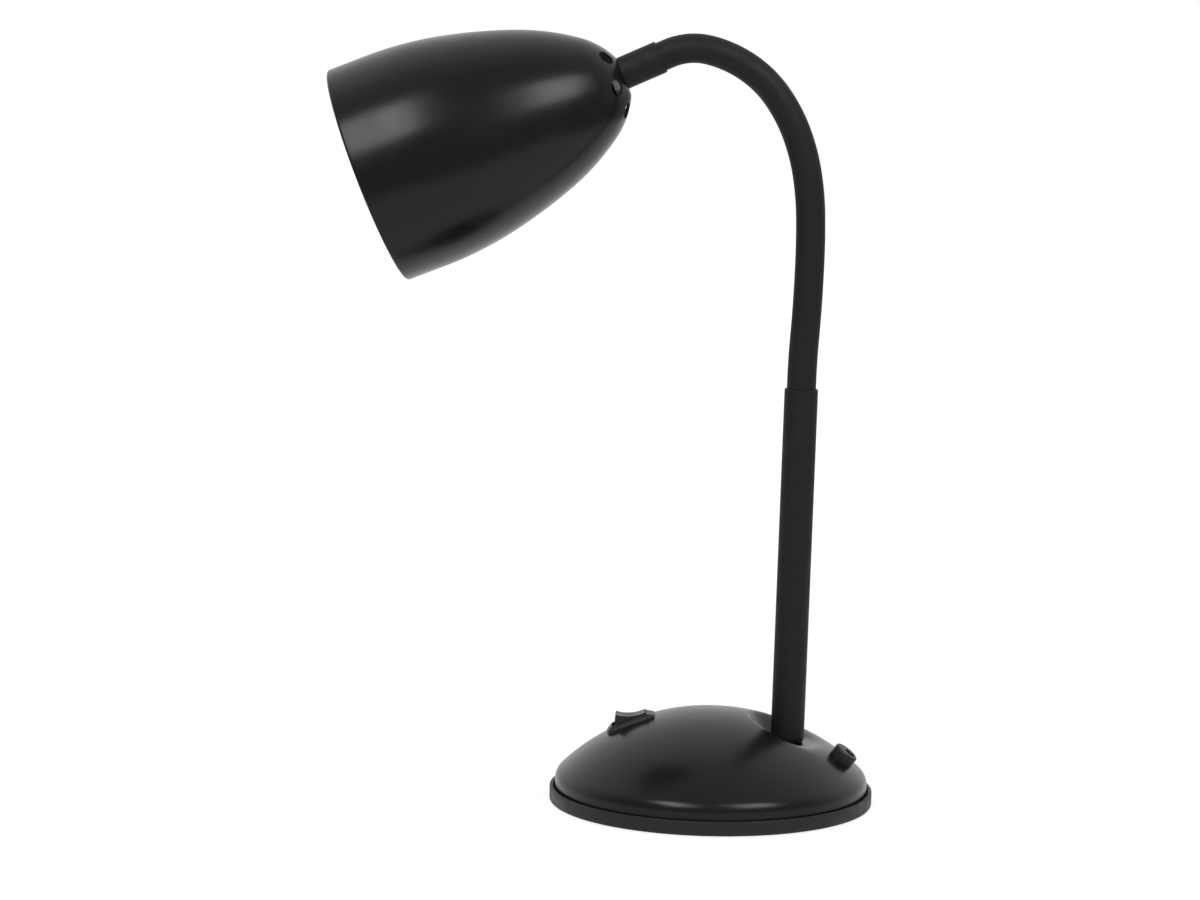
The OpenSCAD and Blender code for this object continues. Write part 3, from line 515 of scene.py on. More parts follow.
def pressed_height(x, y):
    """The dome, drawn down to the stem's seat where it stands higher than the seat."""
    plain = dome_height(math.hypot(x, y))
    floor = STEM_FOOT.z - (x - STEM_FOOT.x) * math.tan(STEM_LEAN)
    away = math.hypot(x - STEM_FOOT.x, y)
    lip = SEAT_LIP_R + SEAT_RUN_OUT * (1 + (x - STEM_FOOT.x) / away) / 2
    drop = (plain - floor + math.hypot(plain - floor, DRAW_SOFTNESS)) / 2
    return plain - drop * drawn_share((lip - away) / (lip - SEAT_FLAT_R))


# %% Make the dome
DOME_SIDES = 360
GRID_START = 0.09
WALL_START = 0.15
WALL_END = 0.52
EDGE_CROWDING = 0.9
SHOULDER_STEPS = 12
SKIRT_MIDDLE = 7.0
TOP_R = SHOULDER_X + SHOULDER_R * math.cos(SHOULDER_TURN)
CROWDING = STEM_FOOT.x / TOP_R


def plan_ring(share):
    """One ring of the grid on the plan, from the stem (0) to the shoulder (1)."""
    ring = []
    for x, y in circle(DOME_SIDES):
        spot = share * complex(x, y)
        moved = TOP_R * (spot + CROWDING) / (1 + CROWDING * spot)
        ring.append((moved.real, moved.imag))
    return ring


ring_shares = [GRID_START + (WALL_START - GRID_START) * step / 4 for step in range(4)]
ring_shares += [WALL_START + (WALL_END - WALL_START) * step / 60 for step in range(60)]
ring_shares += [WALL_END + (1 - WALL_END) * (step / 44) ** EDGE_CROWDING for step in range(45)]
outer = [[(x, y, pressed_height(x, y)) for x, y in plan_ring(share)] for share in ring_shares]
inner = []
for ring in outer:
    inner.append([(x - DOME_WALL * x / DOME_CURVE, y - DOME_WALL * y / DOME_CURVE,
                   z - DOME_WALL * (dome_height(math.hypot(x, y)) - DOME_CENTRE_Z) / DOME_CURVE)
                  for x, y, z in ring])
edge = [(x / TOP_R, y / TOP_R) for x, y in plan_ring(1.0)]
for step in range(1, SHOULDER_STEPS + 1):
    angle = SHOULDER_TURN * (1 - step / SHOULDER_STEPS)
    for rings, depth in ((outer, 0.0), (inner, DOME_WALL)):
        radius = SHOULDER_X + (SHOULDER_R - depth) * math.cos(angle)
        height = SHOULDER_Z + (SHOULDER_R - depth) * math.sin(angle)
        rings.append([(radius * x, radius * y, height) for x, y in edge])
for height in (SKIRT_MIDDLE, TRAY_FLOOR_TOP + HAIR):
    outer.append([(DOME_R * x, DOME_R * y, height) for x, y in edge])
    inner.append([((DOME_R - DOME_WALL) * x, (DOME_R - DOME_WALL) * y, height) for x, y in edge])
dome = loft("dome", outer + inner[::-1], SATIN_LACQUER, around=True)

# %% Cut the openings for the switch and the gland
SWITCH_HOLE = (19.2, 13.0, 9.0)
GLAND_NECK_R = 5.2


def block(name, size, place, surface=SATIN_LACQUER):
    """A plain block for cutting, centred on its place."""
    x, y, z = (extent / 2 for extent in size)
    rings = [[(-x, -y, level), (x, -y, level), (x, y, level), (-x, y, level)] for level in (-z, z)]
    return loft(name, rings, surface, place)


cut(dome, [
    block("switch_cutter", SWITCH_HOLE, SWITCH_PLACE),
    rod("gland_cutter", GLAND_NECK_R + PLAY, -6, 4, SATIN_LACQUER, GLAND_PLACE, 64)])
settle(dome, "base", "black_lacquer", "base_dome")

# %% [markdown]
# ## The stem's cover
#
# The steel stem wears a thick matt sleeve. Its foot is drawn in a little where it presses on the
# seat, and its top ends in a small rounded step where the thinner sleeve of the neck comes out of it.

# %% Make the stem's cover
COVER_TUCK_Z = 161.3
COVER_FOOT_INSET = 0.5
COVER_FOOT_H = 2.6
stem_outline = rounded([
    (STEM_TUBE_R + PLAY, 0.0, 0), (STEM_COVER_R - COVER_FOOT_INSET, 0.0, 0.9),
    (STEM_COVER_R, COVER_FOOT_H, 2.0), (STEM_COVER_R, STEM_LENGTH, 0.6),
    (SLEEVE_R + PLAY, STEM_LENGTH, 0.2), (SLEEVE_R + PLAY, COVER_TUCK_Z, 0),
    (STEM_TUBE_R + PLAY, COVER_TUCK_Z - 0.7, 0)])
stem_cover = turned("stem_sleeve", stem_outline, SOFT_COVER, STEM_PLACE, sides=96)
settle(stem_cover, "base", "black_cover", "stem_cover")

# %% [markdown]
# ## The neck's sleeve
#
# The sleeve is one soft tube in reality. The solids bend at eleven pivots, so the tube is cut at each
# pivot and every piece rides on one body. A blend across each pivot would bend more softly, but here
# it isn't steady: where the arm bends and leans at once, its axis can be found far away, and the
# piece is thrown out. Each piece ends in a collar instead, a zone of a ball around the pivot, hidden
# in its neighbour. A ball looks the same however it turns, so the collar fills the gap that opens on
# the outside of every bend.

# %% The neck's centre line


def neck_at(travel):
    """(point, heading) on the neck's centre line, in mm from its first pivot, or below it on the stem's."""
    if travel <= 0:
        start, heading = PIVOTS[0], HEADINGS[0]
        return start + travel * along(heading), heading
    for start, heading, bend, length in zip(PIVOTS, HEADINGS, LINK_BENDS, LINK_LENGTHS):
        if travel <= length:
            turn = bend * travel / length
            chord = 2 * length / bend * math.sin(turn / 2)
            return start + chord * along(heading + turn / 2), heading + turn
        travel -= length
    heading = HEADINGS[-1]
    return PIVOTS[-1] + travel * along(heading), heading


def tube_rings(stations, radius, sides):
    """Rings square to a route in the upright plane."""
    rings = []
    aside = Vector((0, 1, 0))
    for point, heading in stations:
        ahead = Vector((math.cos(heading), 0, math.sin(heading)))
        rings.append([tuple(point + radius * (x * ahead + y * aside)) for x, y in circle(sides)])
    return rings


def neck_stations(low, high, step=1.0):
    """Points and headings on the centre line between two travels, about a step apart."""
    count = max(2, round((high - low) / step))
    return [neck_at(low + (high - low) * index / count) for index in range(count + 1)]


# %% Make the sleeve
SLEEVE_SIDES = 64
SLEEVE_TUCK = 12.6
SLEEVE_TAIL = 8.5
BALL_R = SLEEVE_R - 0.15
BALL_TURNS = [math.radians(6.0 * step) for step in range(6)]
SOCKET_R = SLEEVE_R - 0.06
SOCKET_DEPTH = 4.2
ends = [-SLEEVE_TUCK]
ends += [sum(LINK_LENGTHS[:index]) for index in range(len(PIVOTS))]
ends += [NECK_LENGTH + STUB + SLEEVE_TAIL]


def collar(travel):
    """The rounded end of a piece, inside its neighbour, which fills the gap when the arm bends there."""
    point, heading = neck_at(travel)
    rings = []
    for turn in BALL_TURNS:
        station = [(point + BALL_R * math.sin(turn) * along(heading), heading)]
        rings += tube_rings(station, BALL_R * math.cos(turn), SLEEVE_SIDES)
    return rings + tube_rings(station, SLEEVE_BORE, SLEEVE_SIDES)


def sleeve_rings(index):
    """One piece of the sleeve: its outside, collar and bore, and the socket for its neighbour's collar."""
    low, high = ends[index], ends[index + 1]
    socket = SOCKET_DEPTH if index else 0
    rings = tube_rings(neck_stations(low, high), SLEEVE_R, SLEEVE_SIDES)
    if index < len(PIVOTS):
        rings += collar(high)
    rings += tube_rings(neck_stations(low + socket, high), SLEEVE_BORE, SLEEVE_SIDES)[::-1]
    if index:
        rings += tube_rings(neck_stations(low, low + socket), SOCKET_R, SLEEVE_SIDES)[::-1]
    return rings


for index, body in enumerate(NECK_BODIES):
    sleeve = loft(f"sleeve_{index}", sleeve_rings(index), SOFT_COVER, around=True)
    solid = {"base": "foot", "head": "head"}.get(body, index)
    settle(sleeve, body, "black_cover", f"neck_cover_{solid}")
print("sleeve:", len(NECK_BODIES), "pieces over", round(NECK_LENGTH, 1), "mm")

# %% [markdown]
# ## The lead inside the arm
#
# A white mains lead runs from the terminal block up through the stem and the hose to the lampholder.
# It can't be seen, but the model is kept as an object to take apart, so the lead is made whole. It is
# cut where the sleeve is.

# %% Make the lead
LEAD_R = 2.1
LEAD_ENTRY = ((12.3, 16.0), (18.0, 16.0), (24.0, 16.1), (29.5, 17.2), (34.0, 19.6))
STEM_THREAD_LOW = -8.0
STEM_STEPS = 12
HOSE_EXIT = 15.0
NIPPLE_LENGTH = 15.0
NIPPLE_ENTRY = 8.0


def with_headings(points):
    """Adds the heading of a smooth route to each of its points."""
    stations = []
    for index, point in enumerate(points):
        before = points[max(index - 1, 0)]
        after = points[min(index + 1, len(points) - 1)]
        stations.append((point, heading_between(before, after)))
    return stations


stem_top = STEM_LENGTH + STUB + ends[0]
base_route = [Vector((x, 0, z)) for x, z in LEAD_ENTRY]
for step in range(STEM_STEPS):
    height = STEM_THREAD_LOW + (stem_top - STEM_THREAD_LOW) * step / STEM_STEPS
    base_route.append(STEM_PLACE @ Vector((0, 0, height)))
junction = (NECK_END @ Vector((0, 0, JUNCTION)) + SHADE_PLACE @ Vector((0, 0, SHADE_TOP))) / 2
shade_route = [NECK_END @ Vector((0, 0, HOSE_EXIT)), junction,
               SHADE_PLACE @ Vector((0, 0, SHADE_TOP - NIPPLE_ENTRY)),
               SHADE_PLACE @ Vector((0, 0, SHADE_TOP - NIPPLE_LENGTH - 1))]
for index, body in enumerate(NECK_BODIES):
    stations = neck_stations(ends[index], ends[index + 1], 2.0)
    solids = []
    if body == "base":
        stations = with_headings(base_route + [stations[0][0]])[:-1] + stations
        solids = ["mains_lead"]
    if body == "head":
        stations = stations + with_headings([stations[-1][0]] + shade_route)[1:]
    lead = loft(f"lead_{index}", tube_rings(stations, LEAD_R, 20), LEAD_SHEATH)
    settle(lead, body, "lead_sheath", *solids)
print("lead:", len(NECK_BODIES), "pieces")

# %% [markdown]
# ## The cuff
#
# A slightly thicker sleeve ends the neck. It is turned like the others, but its far end meets the
# shade's flat top, which is tilted against the neck by a few degrees, so a block on the shade's side of
# the flat cuts that end off.

# %% Make the cuff
CUFF_BORE = 6.05
CUFF_STEP = 13.3
CUFF_SPARE = 4.0
CUTTER_SIZE = 60.0
cuff_outline = rounded([
    (SLEEVE_R + PLAY, STUB, 0.15), (CUFF_R, STUB, 0.5), (CUFF_R, JUNCTION + CUFF_SPARE, 0),
    (CUFF_BORE, JUNCTION + CUFF_SPARE, 0), (CUFF_BORE, CUFF_STEP, 0), (SLEEVE_R + PLAY, CUFF_STEP, 0)])
cuff = turned("cuff", cuff_outline, SOFT_COVER, NECK_END, sides=96)
far_place = SHADE_PLACE @ shift(0, 0, SHADE_TOP - CUTTER_SIZE / 2 + HAIR)
far_side = block("shade_side", (CUTTER_SIZE, CUTTER_SIZE, CUTTER_SIZE), far_place)
cut(cuff, [far_side])
settle(cuff, "head", "black_cover", "neck_cuff")

# %% [markdown]
# ## The shade
#
# The shade is spun from sheet metal over a form: one long outline with a rolled bead at the rim,
# turned round its axis. It is black outside and white inside, where it has to throw light. The white
# ends below the lampholder's cap, and the black band it leaves inside near the neck is painted shade,
# which keeps the vent holes dark. Their cutters widen a little outwards, which leaves the small
# worn-looking edge that lacquer gives a punched hole.

# %% Make the shade
VENT_COUNT = 6
VENT_R = 4.0
VENT_RING = 16.4
VENT_TURN = math.radians(219.0)
VENT_EDGE = 0.3
VENT_FLARE = 0.5
NIPPLE_HOLE_R = 5.1

bead = [(SHADE_R - RIM_BEAD + RIM_BEAD * math.cos(angle), RIM_BEAD + RIM_BEAD * math.sin(angle))
        for angle in [math.radians(-7.5 * step) for step in range(1, 36)]]
outside = shade_outline(28)
inside = shade_outline(28, SHADE_WALL)
straight = [RIM_BEAD + (SHADE_STRAIGHT - RIM_BEAD) * step / 6 for step in range(6)]
shade_profile = [(NIPPLE_HOLE_R, SHADE_TOP)] + outside[::-1]
shade_profile += [(SHADE_R, height) for height in straight[::-1]] + bead
shade_profile += [(SHADE_R - SHADE_WALL, height) for height in straight[1:]] + inside
shade_profile += [(NIPPLE_HOLE_R, SHADE_TOP - SHADE_WALL)]
shade = turned("shade_shell", shade_profile, SATIN_LACQUER, SHADE_PLACE, sides=256)

last_radius = SHADE_ARCS[-1][0]
end_turn = math.radians(sum(degrees for radius, degrees in SHADE_ARCS))
last_centre = Vector((SHADE_FLAT_R, SHADE_TOP))
last_centre -= last_radius * Vector((math.cos(end_turn), math.sin(end_turn)))
vent_slope = math.acos((VENT_RING - last_centre.x) / last_radius)
vent_height = last_centre.y + last_radius * math.sin(vent_slope)
vent_outline = [(0, -4), (VENT_R, -4), (VENT_R, -VENT_EDGE - 0.2), (VENT_R + VENT_EDGE + VENT_FLARE, 0.3),
                (0, 0.3)]
vent_cutters = []
for index in range(VENT_COUNT):
    turn = VENT_TURN + 2 * math.pi * index / VENT_COUNT
    place = (SHADE_PLACE @ Matrix.Rotation(turn, 4, "Z") @ shift(VENT_RING, 0, vent_height)
             @ tip(math.pi / 2 - vent_slope))
    vent_cutters.append(turned("vent_cutter", vent_outline, SATIN_LACQUER, place, sides=48))
cut(shade, [joined("vent_cutters", vent_cutters)])

# %% Give the inside of the shade its white lacquer
# The white stops this far below the top, and the black band it leaves inside is painted shade that keeps the
# vents dark.
PAINTED_SHADE_GAP = 14.0
shade.data.materials.append(WHITE_LACQUER)
to_shade = SHADE_PLACE.inverted()
middle_line = shade_outline(12, SHADE_WALL / 2)


def middle_radius(height):
    """The radius of the middle of the shade's wall at a height above the rim."""
    for (low_r, low_h), (high_r, high_h) in zip(middle_line, middle_line[1:]):
        if low_h <= height <= high_h:
            return low_r + (high_r - low_r) * (height - low_h) / (high_h - low_h)
    return SHADE_R - SHADE_WALL / 2 if height < SHADE_STRAIGHT else 0.0


for face in shade.data.polygons:
    spot = to_shade @ (face.center / MM)
    facing = to_shade.to_3x3() @ face.normal
    radius = math.hypot(spot.x, spot.y)
    inwards = facing.x * spot.x + facing.y * spot.y < 0 and radius < middle_radius(spot.z)
    if 2 * RIM_BEAD < spot.z < SHADE_TOP - PAINTED_SHADE_GAP and inwards:
        face.material_index = 1
settle(shade, "head", "black_lacquer", "shade")

# %% [markdown]
# ## The switch
#
# A snap-in rocker switch sits across the front of the dome. Its frame is a ring that rises from a
# thin outer edge to the opening, and the rocker is a short bar with a hollow top and a pin at each
# side, tipped so far that its rear end is level with the frame. Each is lofted from outlines, and a
# bevel takes the sharpness off the moulded edges.

# %% The switch's frame and body
BEZEL = (25.0, 15.0)
BEZEL_CORNER = 4.0
BEZEL_H = 2.38
BEZEL_MOUTH = (18.8, 11.2)
MOUTH_CORNER = 1.0
OPENING = (18.2, 10.6)
BODY = (18.9, 12.7)
BODY_DEPTH = 16.0
BODY_WALL = 1.1
CHAMBER_DEPTH = 11.8
SLOT = (0.9, 4.9, 4.0)
SLOT_SPOTS = (0, -5)
PIVOT_DEPTH = 1.0
PIN_HOLE_R = 1.05
FRAME_PROFILE = ((0.0, -1.5), (0.0, 0.4), (0.015, 0.62), (0.05, 0.78), (0.11, 0.92), (0.84, 2.2),
                 (0.93, 2.33), (1.0, BEZEL_H))


def frame_ring(share, height):
    """A rounded rectangle between the frame's outer edge (0) and its mouth (1), as points at one height."""
    x, y = ((edge_size + (mouth_size - edge_size) * share) / 2
            for edge_size, mouth_size in zip(BEZEL, BEZEL_MOUTH))
    corner = BEZEL_CORNER + (MOUTH_CORNER - BEZEL_CORNER) * share
    corners = [(x, y, corner), (-x, y, corner), (-x, -y, corner), (x, -y, corner)]
    return [(px, py, height) for px, py in rounded(corners, 8)]


frame_rings = [frame_ring(share, height) for share, height in FRAME_PROFILE]
housing = loft("switch_frame", frame_rings, SWITCH_PLASTIC, SWITCH_PLACE)
dome_solid = [(0, TRAY_FLOOR_TOP)]
for degrees in range(40, -1, -1):
    angle = math.radians(degrees)
    dome_solid.append((DOME_CURVE * math.sin(angle), DOME_CENTRE_Z + DOME_CURVE * math.cos(angle)))
cut(housing, [turned("dome_solid", dome_solid, SWITCH_PLASTIC, sides=240)])
body_place = SWITCH_PLACE @ shift(0, 0, -BODY_DEPTH / 2)
cut(housing, [block("switch_body", (*BODY, BODY_DEPTH), body_place, SWITCH_PLASTIC)], operation="UNION")

# %% Cut the switch's opening, chamber, pin hole and slots
chamber_size = (BODY[0] - 2 * BODY_WALL, BODY[1] - 2 * BODY_WALL, CHAMBER_DEPTH)
across = Matrix.Rotation(math.pi / 2, 4, "X")
pin_place = SWITCH_PLACE @ shift(0, 0, -PIVOT_DEPTH) @ across
switch_cutters = [
    block("opening", (*OPENING, 20.0), SWITCH_PLACE @ shift(0, 0, 2)),
    block("chamber", chamber_size, SWITCH_PLACE @ shift(0, 0, -8.5)),
    rod("pin_hole", PIN_HOLE_R, -6.2, 6.2, SWITCH_PLASTIC, pin_place, 32)]
switch_cutters += [block("slot", SLOT, SWITCH_PLACE @ shift(x, 0, 1 - BODY_DEPTH)) for x in SLOT_SPOTS]
cut(housing, switch_cutters)
soften(housing, 0.25, 2)
settle(housing, "base", "switch_plastic", "switch_housing")

# %% The rocker
ROCKER_HALF = 8.6
ROCKER_W = 10.0
ROCKER_TILT = math.radians(16.0)
ROCKER_MID = 5.2
HORN_HALF = 7.4
HORN_RISE = 1.4
ROCKER_UNDER = -2.0
UNDER_INSET = 0.5
PIN_R = 1.0
PIN_HALF = 6.1
BOSS_R = 2.0
BOSS_BORE_R = 1.35
BOSS_LOW = -7.0
ROCKER_CREASE = 24.0
ROCKER_PLACE = SWITCH_PLACE @ shift(0, 0, -PIVOT_DEPTH) @ tip(ROCKER_TILT)

dish_r = (HORN_HALF ** 2 + HORN_RISE ** 2) / (2 * HORN_RISE)
dish = []
for step in range(17):
    x = HORN_HALF * (1 - step / 8)
    dish.append((x, ROCKER_MID + dish_r - math.sqrt(dish_r ** 2 - x ** 2)))
side_view = ([(ROCKER_HALF - UNDER_INSET, ROCKER_UNDER), (ROCKER_HALF, 0.0)] + dish
             + [(-ROCKER_HALF, 0.0), (-ROCKER_HALF + UNDER_INSET, ROCKER_UNDER)])
rocker_rings = [[(x, y, z) for x, z in side_view] for y in (-ROCKER_W / 2, ROCKER_W / 2)]
rocker = loft("rocker", rocker_rings, SWITCH_PLASTIC, ROCKER_PLACE, crease=ROCKER_CREASE)
pin_outline = rounded([
    (0, -PIN_HALF, 0), (PIN_R, -PIN_HALF, 0.2), (PIN_R, PIN_HALF, 0.2), (0, PIN_HALF, 0)])
pin = turned("pin", pin_outline, SWITCH_PLASTIC, ROCKER_PLACE @ across, sides=32)
boss = rod("boss", BOSS_R, BOSS_LOW, -1, SWITCH_PLASTIC, ROCKER_PLACE, 32)
cut(rocker, [pin, boss], operation="UNION", crease=ROCKER_CREASE)
boss_bore = rod("boss_bore", BOSS_BORE_R, BOSS_LOW - 1, 0, SWITCH_PLASTIC, ROCKER_PLACE, 32)
cut(rocker, [boss_bore], crease=ROCKER_CREASE)
soften(rocker, 0.4, 3, 40.0)
settle(rocker, "rocker", "switch_plastic", "switch_rocker")

# %% [markdown]
# ## The cord gland
#
# A round plug of hard rubber leads the cord into the base. Its head is turned with a rounded edge,
# its far third has fine ribs for the fingers, and the bore for the cord sits off centre, towards the
# rear.

# %% Make the gland
GLAND_R = 6.2
GLAND_H = 5.6
CORD_BORE_R = 2.6
CORD_BORE_X = 1.6
RIB_COUNT = 9
RIB_FIRST = -64
RIB_SPACING = 16
RIB_HEIGHT = 3.4
gland_outline = rounded([
    (0, -5, 0), (GLAND_NECK_R - 0.4, -5, 0), (GLAND_NECK_R + 0.7, -3.6, 0.1), (GLAND_NECK_R, -3.6, 0),
    (GLAND_NECK_R, -0.12, 0), (GLAND_R, -0.16, 0.1), (GLAND_R, GLAND_H, 1.0), (0, GLAND_H, 0)])
gland = turned("cord_gland_plug", gland_outline, SWITCH_PLASTIC, GLAND_PLACE, sides=120)
rib_cutters = []
for index in range(RIB_COUNT):
    turn = math.radians(RIB_FIRST + RIB_SPACING * index)
    place = GLAND_PLACE @ Matrix.Rotation(turn, 4, "Z") @ shift(GLAND_R + PLAY, 0, RIB_HEIGHT)
    rib_cutters.append(rod("rib_cutter", 0.45, -2.6, 3.0, SWITCH_PLASTIC, place, 12))
bore_outline = [(0, -6), (CORD_BORE_R, -6), (CORD_BORE_R, 5.1), (CORD_BORE_R + 0.6, 6), (0, 6)]
bore = turned("cord_bore", bore_outline, SWITCH_PLASTIC, GLAND_PLACE @ shift(CORD_BORE_X, 0, 0), sides=48)
cut(gland, [bore, joined("rib_cutters", rib_cutters)])
settle(gland, "base", "switch_plastic", "cord_gland")

# %% [markdown]
# ## The bulb
#
# A small golf ball bulb fills the shade. Its glass is turned, with a full sphere that narrows to the
# metal base. The base carries a real rolled thread: a ring of points whose radius swells and falls
# along a helix, which is how a sheet metal cap is formed.

# %% Heights inside the shade, from the rim's plane
CAP_TOP = SHADE_TOP - SHADE_WALL - 5.2
CAP_LOW = CAP_TOP - 15.0
INSERT_LOW = CAP_LOW - 6.0
BULB_TOP = INSERT_LOW - 1.6
BULB_LOW = BULB_TOP - 15.6
BULB_NECK_TOP = BULB_LOW + 2.4
BULB_REACH = 61.0
GLOBE_R = 22.5
GLOBE_Z = BULB_NECK_TOP - BULB_REACH + GLOBE_R
BULB_BASE_R = 6.9

# %% Make the bulb
THREAD_PITCH = 2.8
THREAD_DEPTH = 0.28
THREAD_SIDES = 72
THREAD_RINGS = 56
THREAD_FADE = 8
GLASS_NECK = ((15.4, -15.5), (11.9, -11.2), (9.4, -7.0), (8.0, -3.5), (7.5, -1.0), (7.5, 2.3), (0, 2.3))
glass_points = []
for degrees in range(-90, 39, 4):
    angle = math.radians(degrees)
    glass_points.append((GLOBE_R * math.cos(angle), GLOBE_Z + GLOBE_R * math.sin(angle)))
for radius, rise in GLASS_NECK:
    glass_points.append((radius, BULB_LOW + rise))
glass = turned("bulb_globe", glass_points, OPAL_GLASS, SHADE_PLACE, sides=128, crease=60.0)
settle(glass, "head", "opal_glass", "bulb_glass")


def cap_ring(height, depth, radius=BULB_BASE_R):
    """A ring of the bulb's base, with a thread of the given depth rolled into it."""
    ring = []
    for side in range(THREAD_SIDES):
        angle = 2 * math.pi * side / THREAD_SIDES
        wave = 0.5 - 0.5 * math.cos(2 * math.pi * height / THREAD_PITCH - angle)
        swell = radius - depth * wave
        ring.append((swell * math.cos(angle), swell * math.sin(angle), height))
    return ring


cap_rings = []
for step in range(THREAD_RINGS + 1):
    height = BULB_LOW + HAIR + (BULB_TOP - 2.6 - BULB_LOW) * step / THREAD_RINGS
    fade = min(1.0, step / THREAD_FADE, (THREAD_RINGS - step) / THREAD_FADE)
    cap_rings.append(cap_ring(height, THREAD_DEPTH * fade))
for radius, rise in ((4.6, -0.2), (2.4, 0.0), (2.3, 0.7), (1.5, 1.0)):
    cap_rings.append(cap_ring(BULB_TOP + rise, 0.0, radius))
bulb_cap = loft("bulb_cap", cap_rings, BULB_METAL, SHADE_PLACE, crease=50.0)
settle(bulb_cap, "head", "bulb_aluminium", "bulb_base")

# %% [markdown]
# ## The lampholder's lower tube
#
# The part of the lampholder that shows when the lamp is looked at from the front is a plastic tube.
# Real ones have grip ribs round them, so the outline is turned first and then shallow grooves are
# pressed into its side.

# %% Make the lampholder's tube
HOLDER_R = 13.5
HOLDER_WALL = 1.5
TUBE_LOW = CAP_LOW - 24.0
GROOVES = 24
GROOVE_DEPTH = 0.5
GROOVE_HEIGHT = 11.0
LIP_R = 9.1
LIP_WALL = 2.0
tube_profile = rounded([
    (HOLDER_R - HOLDER_WALL, CAP_LOW - HAIR, 0), (HOLDER_R, CAP_LOW - HAIR, 0.3), (HOLDER_R, TUBE_LOW, 1.4),
    (LIP_R, TUBE_LOW, 0.4), (LIP_R, TUBE_LOW + LIP_WALL, 0),
    (HOLDER_R - HOLDER_WALL, TUBE_LOW + LIP_WALL, 0)])
holder = turned("lampholder_sleeve", tube_profile, SWITCH_PLASTIC, SHADE_PLACE, sides=144)
groove_cutters = []
for index in range(GROOVES):
    place = (SHADE_PLACE @ Matrix.Rotation(2 * math.pi * index / GROOVES, 4, "Z")
             @ shift(HOLDER_R + 0.9 - GROOVE_DEPTH, 0, TUBE_LOW + GROOVE_HEIGHT))
    groove_cutters.append(turned("groove", [(0, -8), (0.4, -8), (0.7, -7), (0.7, 7), (0.4, 8), (0, 8)],
                                 SWITCH_PLASTIC, place, sides=12))
cut(holder, [joined("grooves", groove_cutters)])
settle(holder, "head", "black_plastic", "lampholder_tube")

# %% [markdown]
# ## The other solids
#
# The rest of the lamp is hidden inside the base, the switch, the arm or the lampholder, and its
# solids already have the right shape. They keep their meshes and get the finish of what they are made
# of, and a small bevel takes the hardness off the edges of some of them.

# %% Give the carried-over nodes their finishes
SLOT_FINISHES = {
    "black_lacquer": SATIN_LACQUER, "black_cover": SOFT_COVER, "black_plastic": GRAINED_PLASTIC,
    "switch_plastic": SWITCH_PLASTIC, "foot_rubber": FOOT_RUBBER, "cast_ballast": CAST_BALLAST,
    "zinc_steel": ZINC_STEEL, "hose_steel": HOSE_STEEL, "brass": CONTACT_BRASS, "bulb_aluminium": BULB_METAL,
    "white_plastic": BLOCK_PLASTIC, "lead_sheath": LEAD_SHEATH, "wire_insulation": WIRE_BLUE,
    "ceramic": INSERT_CERAMIC, "opal_glass": OPAL_GLASS}
SOFTENED = {"ballast_disc": 0.8, "terminal_block": 0.5, "stem_nut": 0.4, "stem_washer": 0.2,
            "shade_nut": 0.3, "shade_washer": 0.2, "lampholder_cap": 0.3, "switch_terminals": 0.1,
            "lampholder_insert": 0.3}
node_slots = {row["node"]: row["material_slot"] for row in frame["record"]["subparts"]}
kept = [name for name, node in frame["nodes"].items() if not node.hide_render]
for name in kept:
    node = frame["nodes"][name]
    node.data.materials.clear()
    node.data.materials.append(SLOT_FINISHES[node_slots[name]])
    if name in SOFTENED:
        soften(node, SOFTENED[name], 2)
print("kept nodes:", len(kept))

# %% [markdown]
# ## Floor, light and camera
#
# The lamp stands on a roll of white paper that runs on behind it without a horizon. The paper and the
# world show as white to the camera and in what the lamp mirrors, while the light on it stays at a
# plain level. The black lacquer lives from its reflections: the white behind it, the paper that ends
# a little way in front and at the sides, a darker room beyond, and two soft boxes beside the camera.

# %% Floor
PAPER_SIDE = 0.7
PAPER_FRONT = -0.75
PAPER_BACK = 3.0
floor_mesh = bpy.data.meshes.new("floor")
floor_corners = [(-PAPER_SIDE, PAPER_FRONT, 0), (PAPER_SIDE, PAPER_FRONT, 0), (PAPER_SIDE, PAPER_BACK, 0),
                 (-PAPER_SIDE, PAPER_BACK, 0)]
floor_mesh.from_pydata(floor_corners, [], [(0, 1, 2, 3)])
floor = in_scene("floor", floor_mesh)
print("paper:", 2 * PAPER_SIDE, "m wide, from", PAPER_FRONT, "to", PAPER_BACK, "m")

# %% [markdown]
# ### The paper's material
#
# Light Path tells what kind of ray asks. To the light that falls on the lamp, the paper is plain and
# a little grey. To the camera, and in what the lamp mirrors, it is faintly diffuse with a white glow
# under that, so the lamp's shadow still shows on it. The glow grows from 0.87 beside the lamp to 1
# further out, because close to the lamp the diffuse part adds what is missing to white.

# %% Make the paper's material
PAPER_GREY = (0.8, 0.8, 0.8, 1.0)
SHADOW_GREY = (0.2, 0.2, 0.2, 1.0)
GLOW_NEAR, GLOW_FAR = 0.3, 1.0
GLOW_LOW, GLOW_HIGH = 0.87, 1.0


def calculate(tree, operation, first, second):
    """A Math node on two outputs."""
    node = tree.nodes.new("ShaderNodeMath")
    node.operation = operation
    tree.links.new(first, node.inputs[0])
    tree.links.new(second, node.inputs[1])
    return node.outputs[0]


def split_by_ray(tree, output, light, sight, *shares):
    """One shader for the light, another for the camera and for what the lamp mirrors, by the shares."""
    path = tree.nodes.new("ShaderNodeLightPath")
    seen = calculate(tree, "ADD", path.outputs["Is Glossy Ray"], path.outputs["Is Transmission Ray"])
    for share in shares:
        seen = calculate(tree, "MULTIPLY", seen, share)
    mix = tree.nodes.new("ShaderNodeMixShader")
    tree.links.new(calculate(tree, "ADD", path.outputs["Is Camera Ray"], seen), mix.inputs["Fac"])
    tree.links.new(light.outputs[0], mix.inputs[1])
    tree.links.new(sight.outputs[0], mix.inputs[2])
    tree.links.new(mix.outputs[0], output.inputs["Surface"])


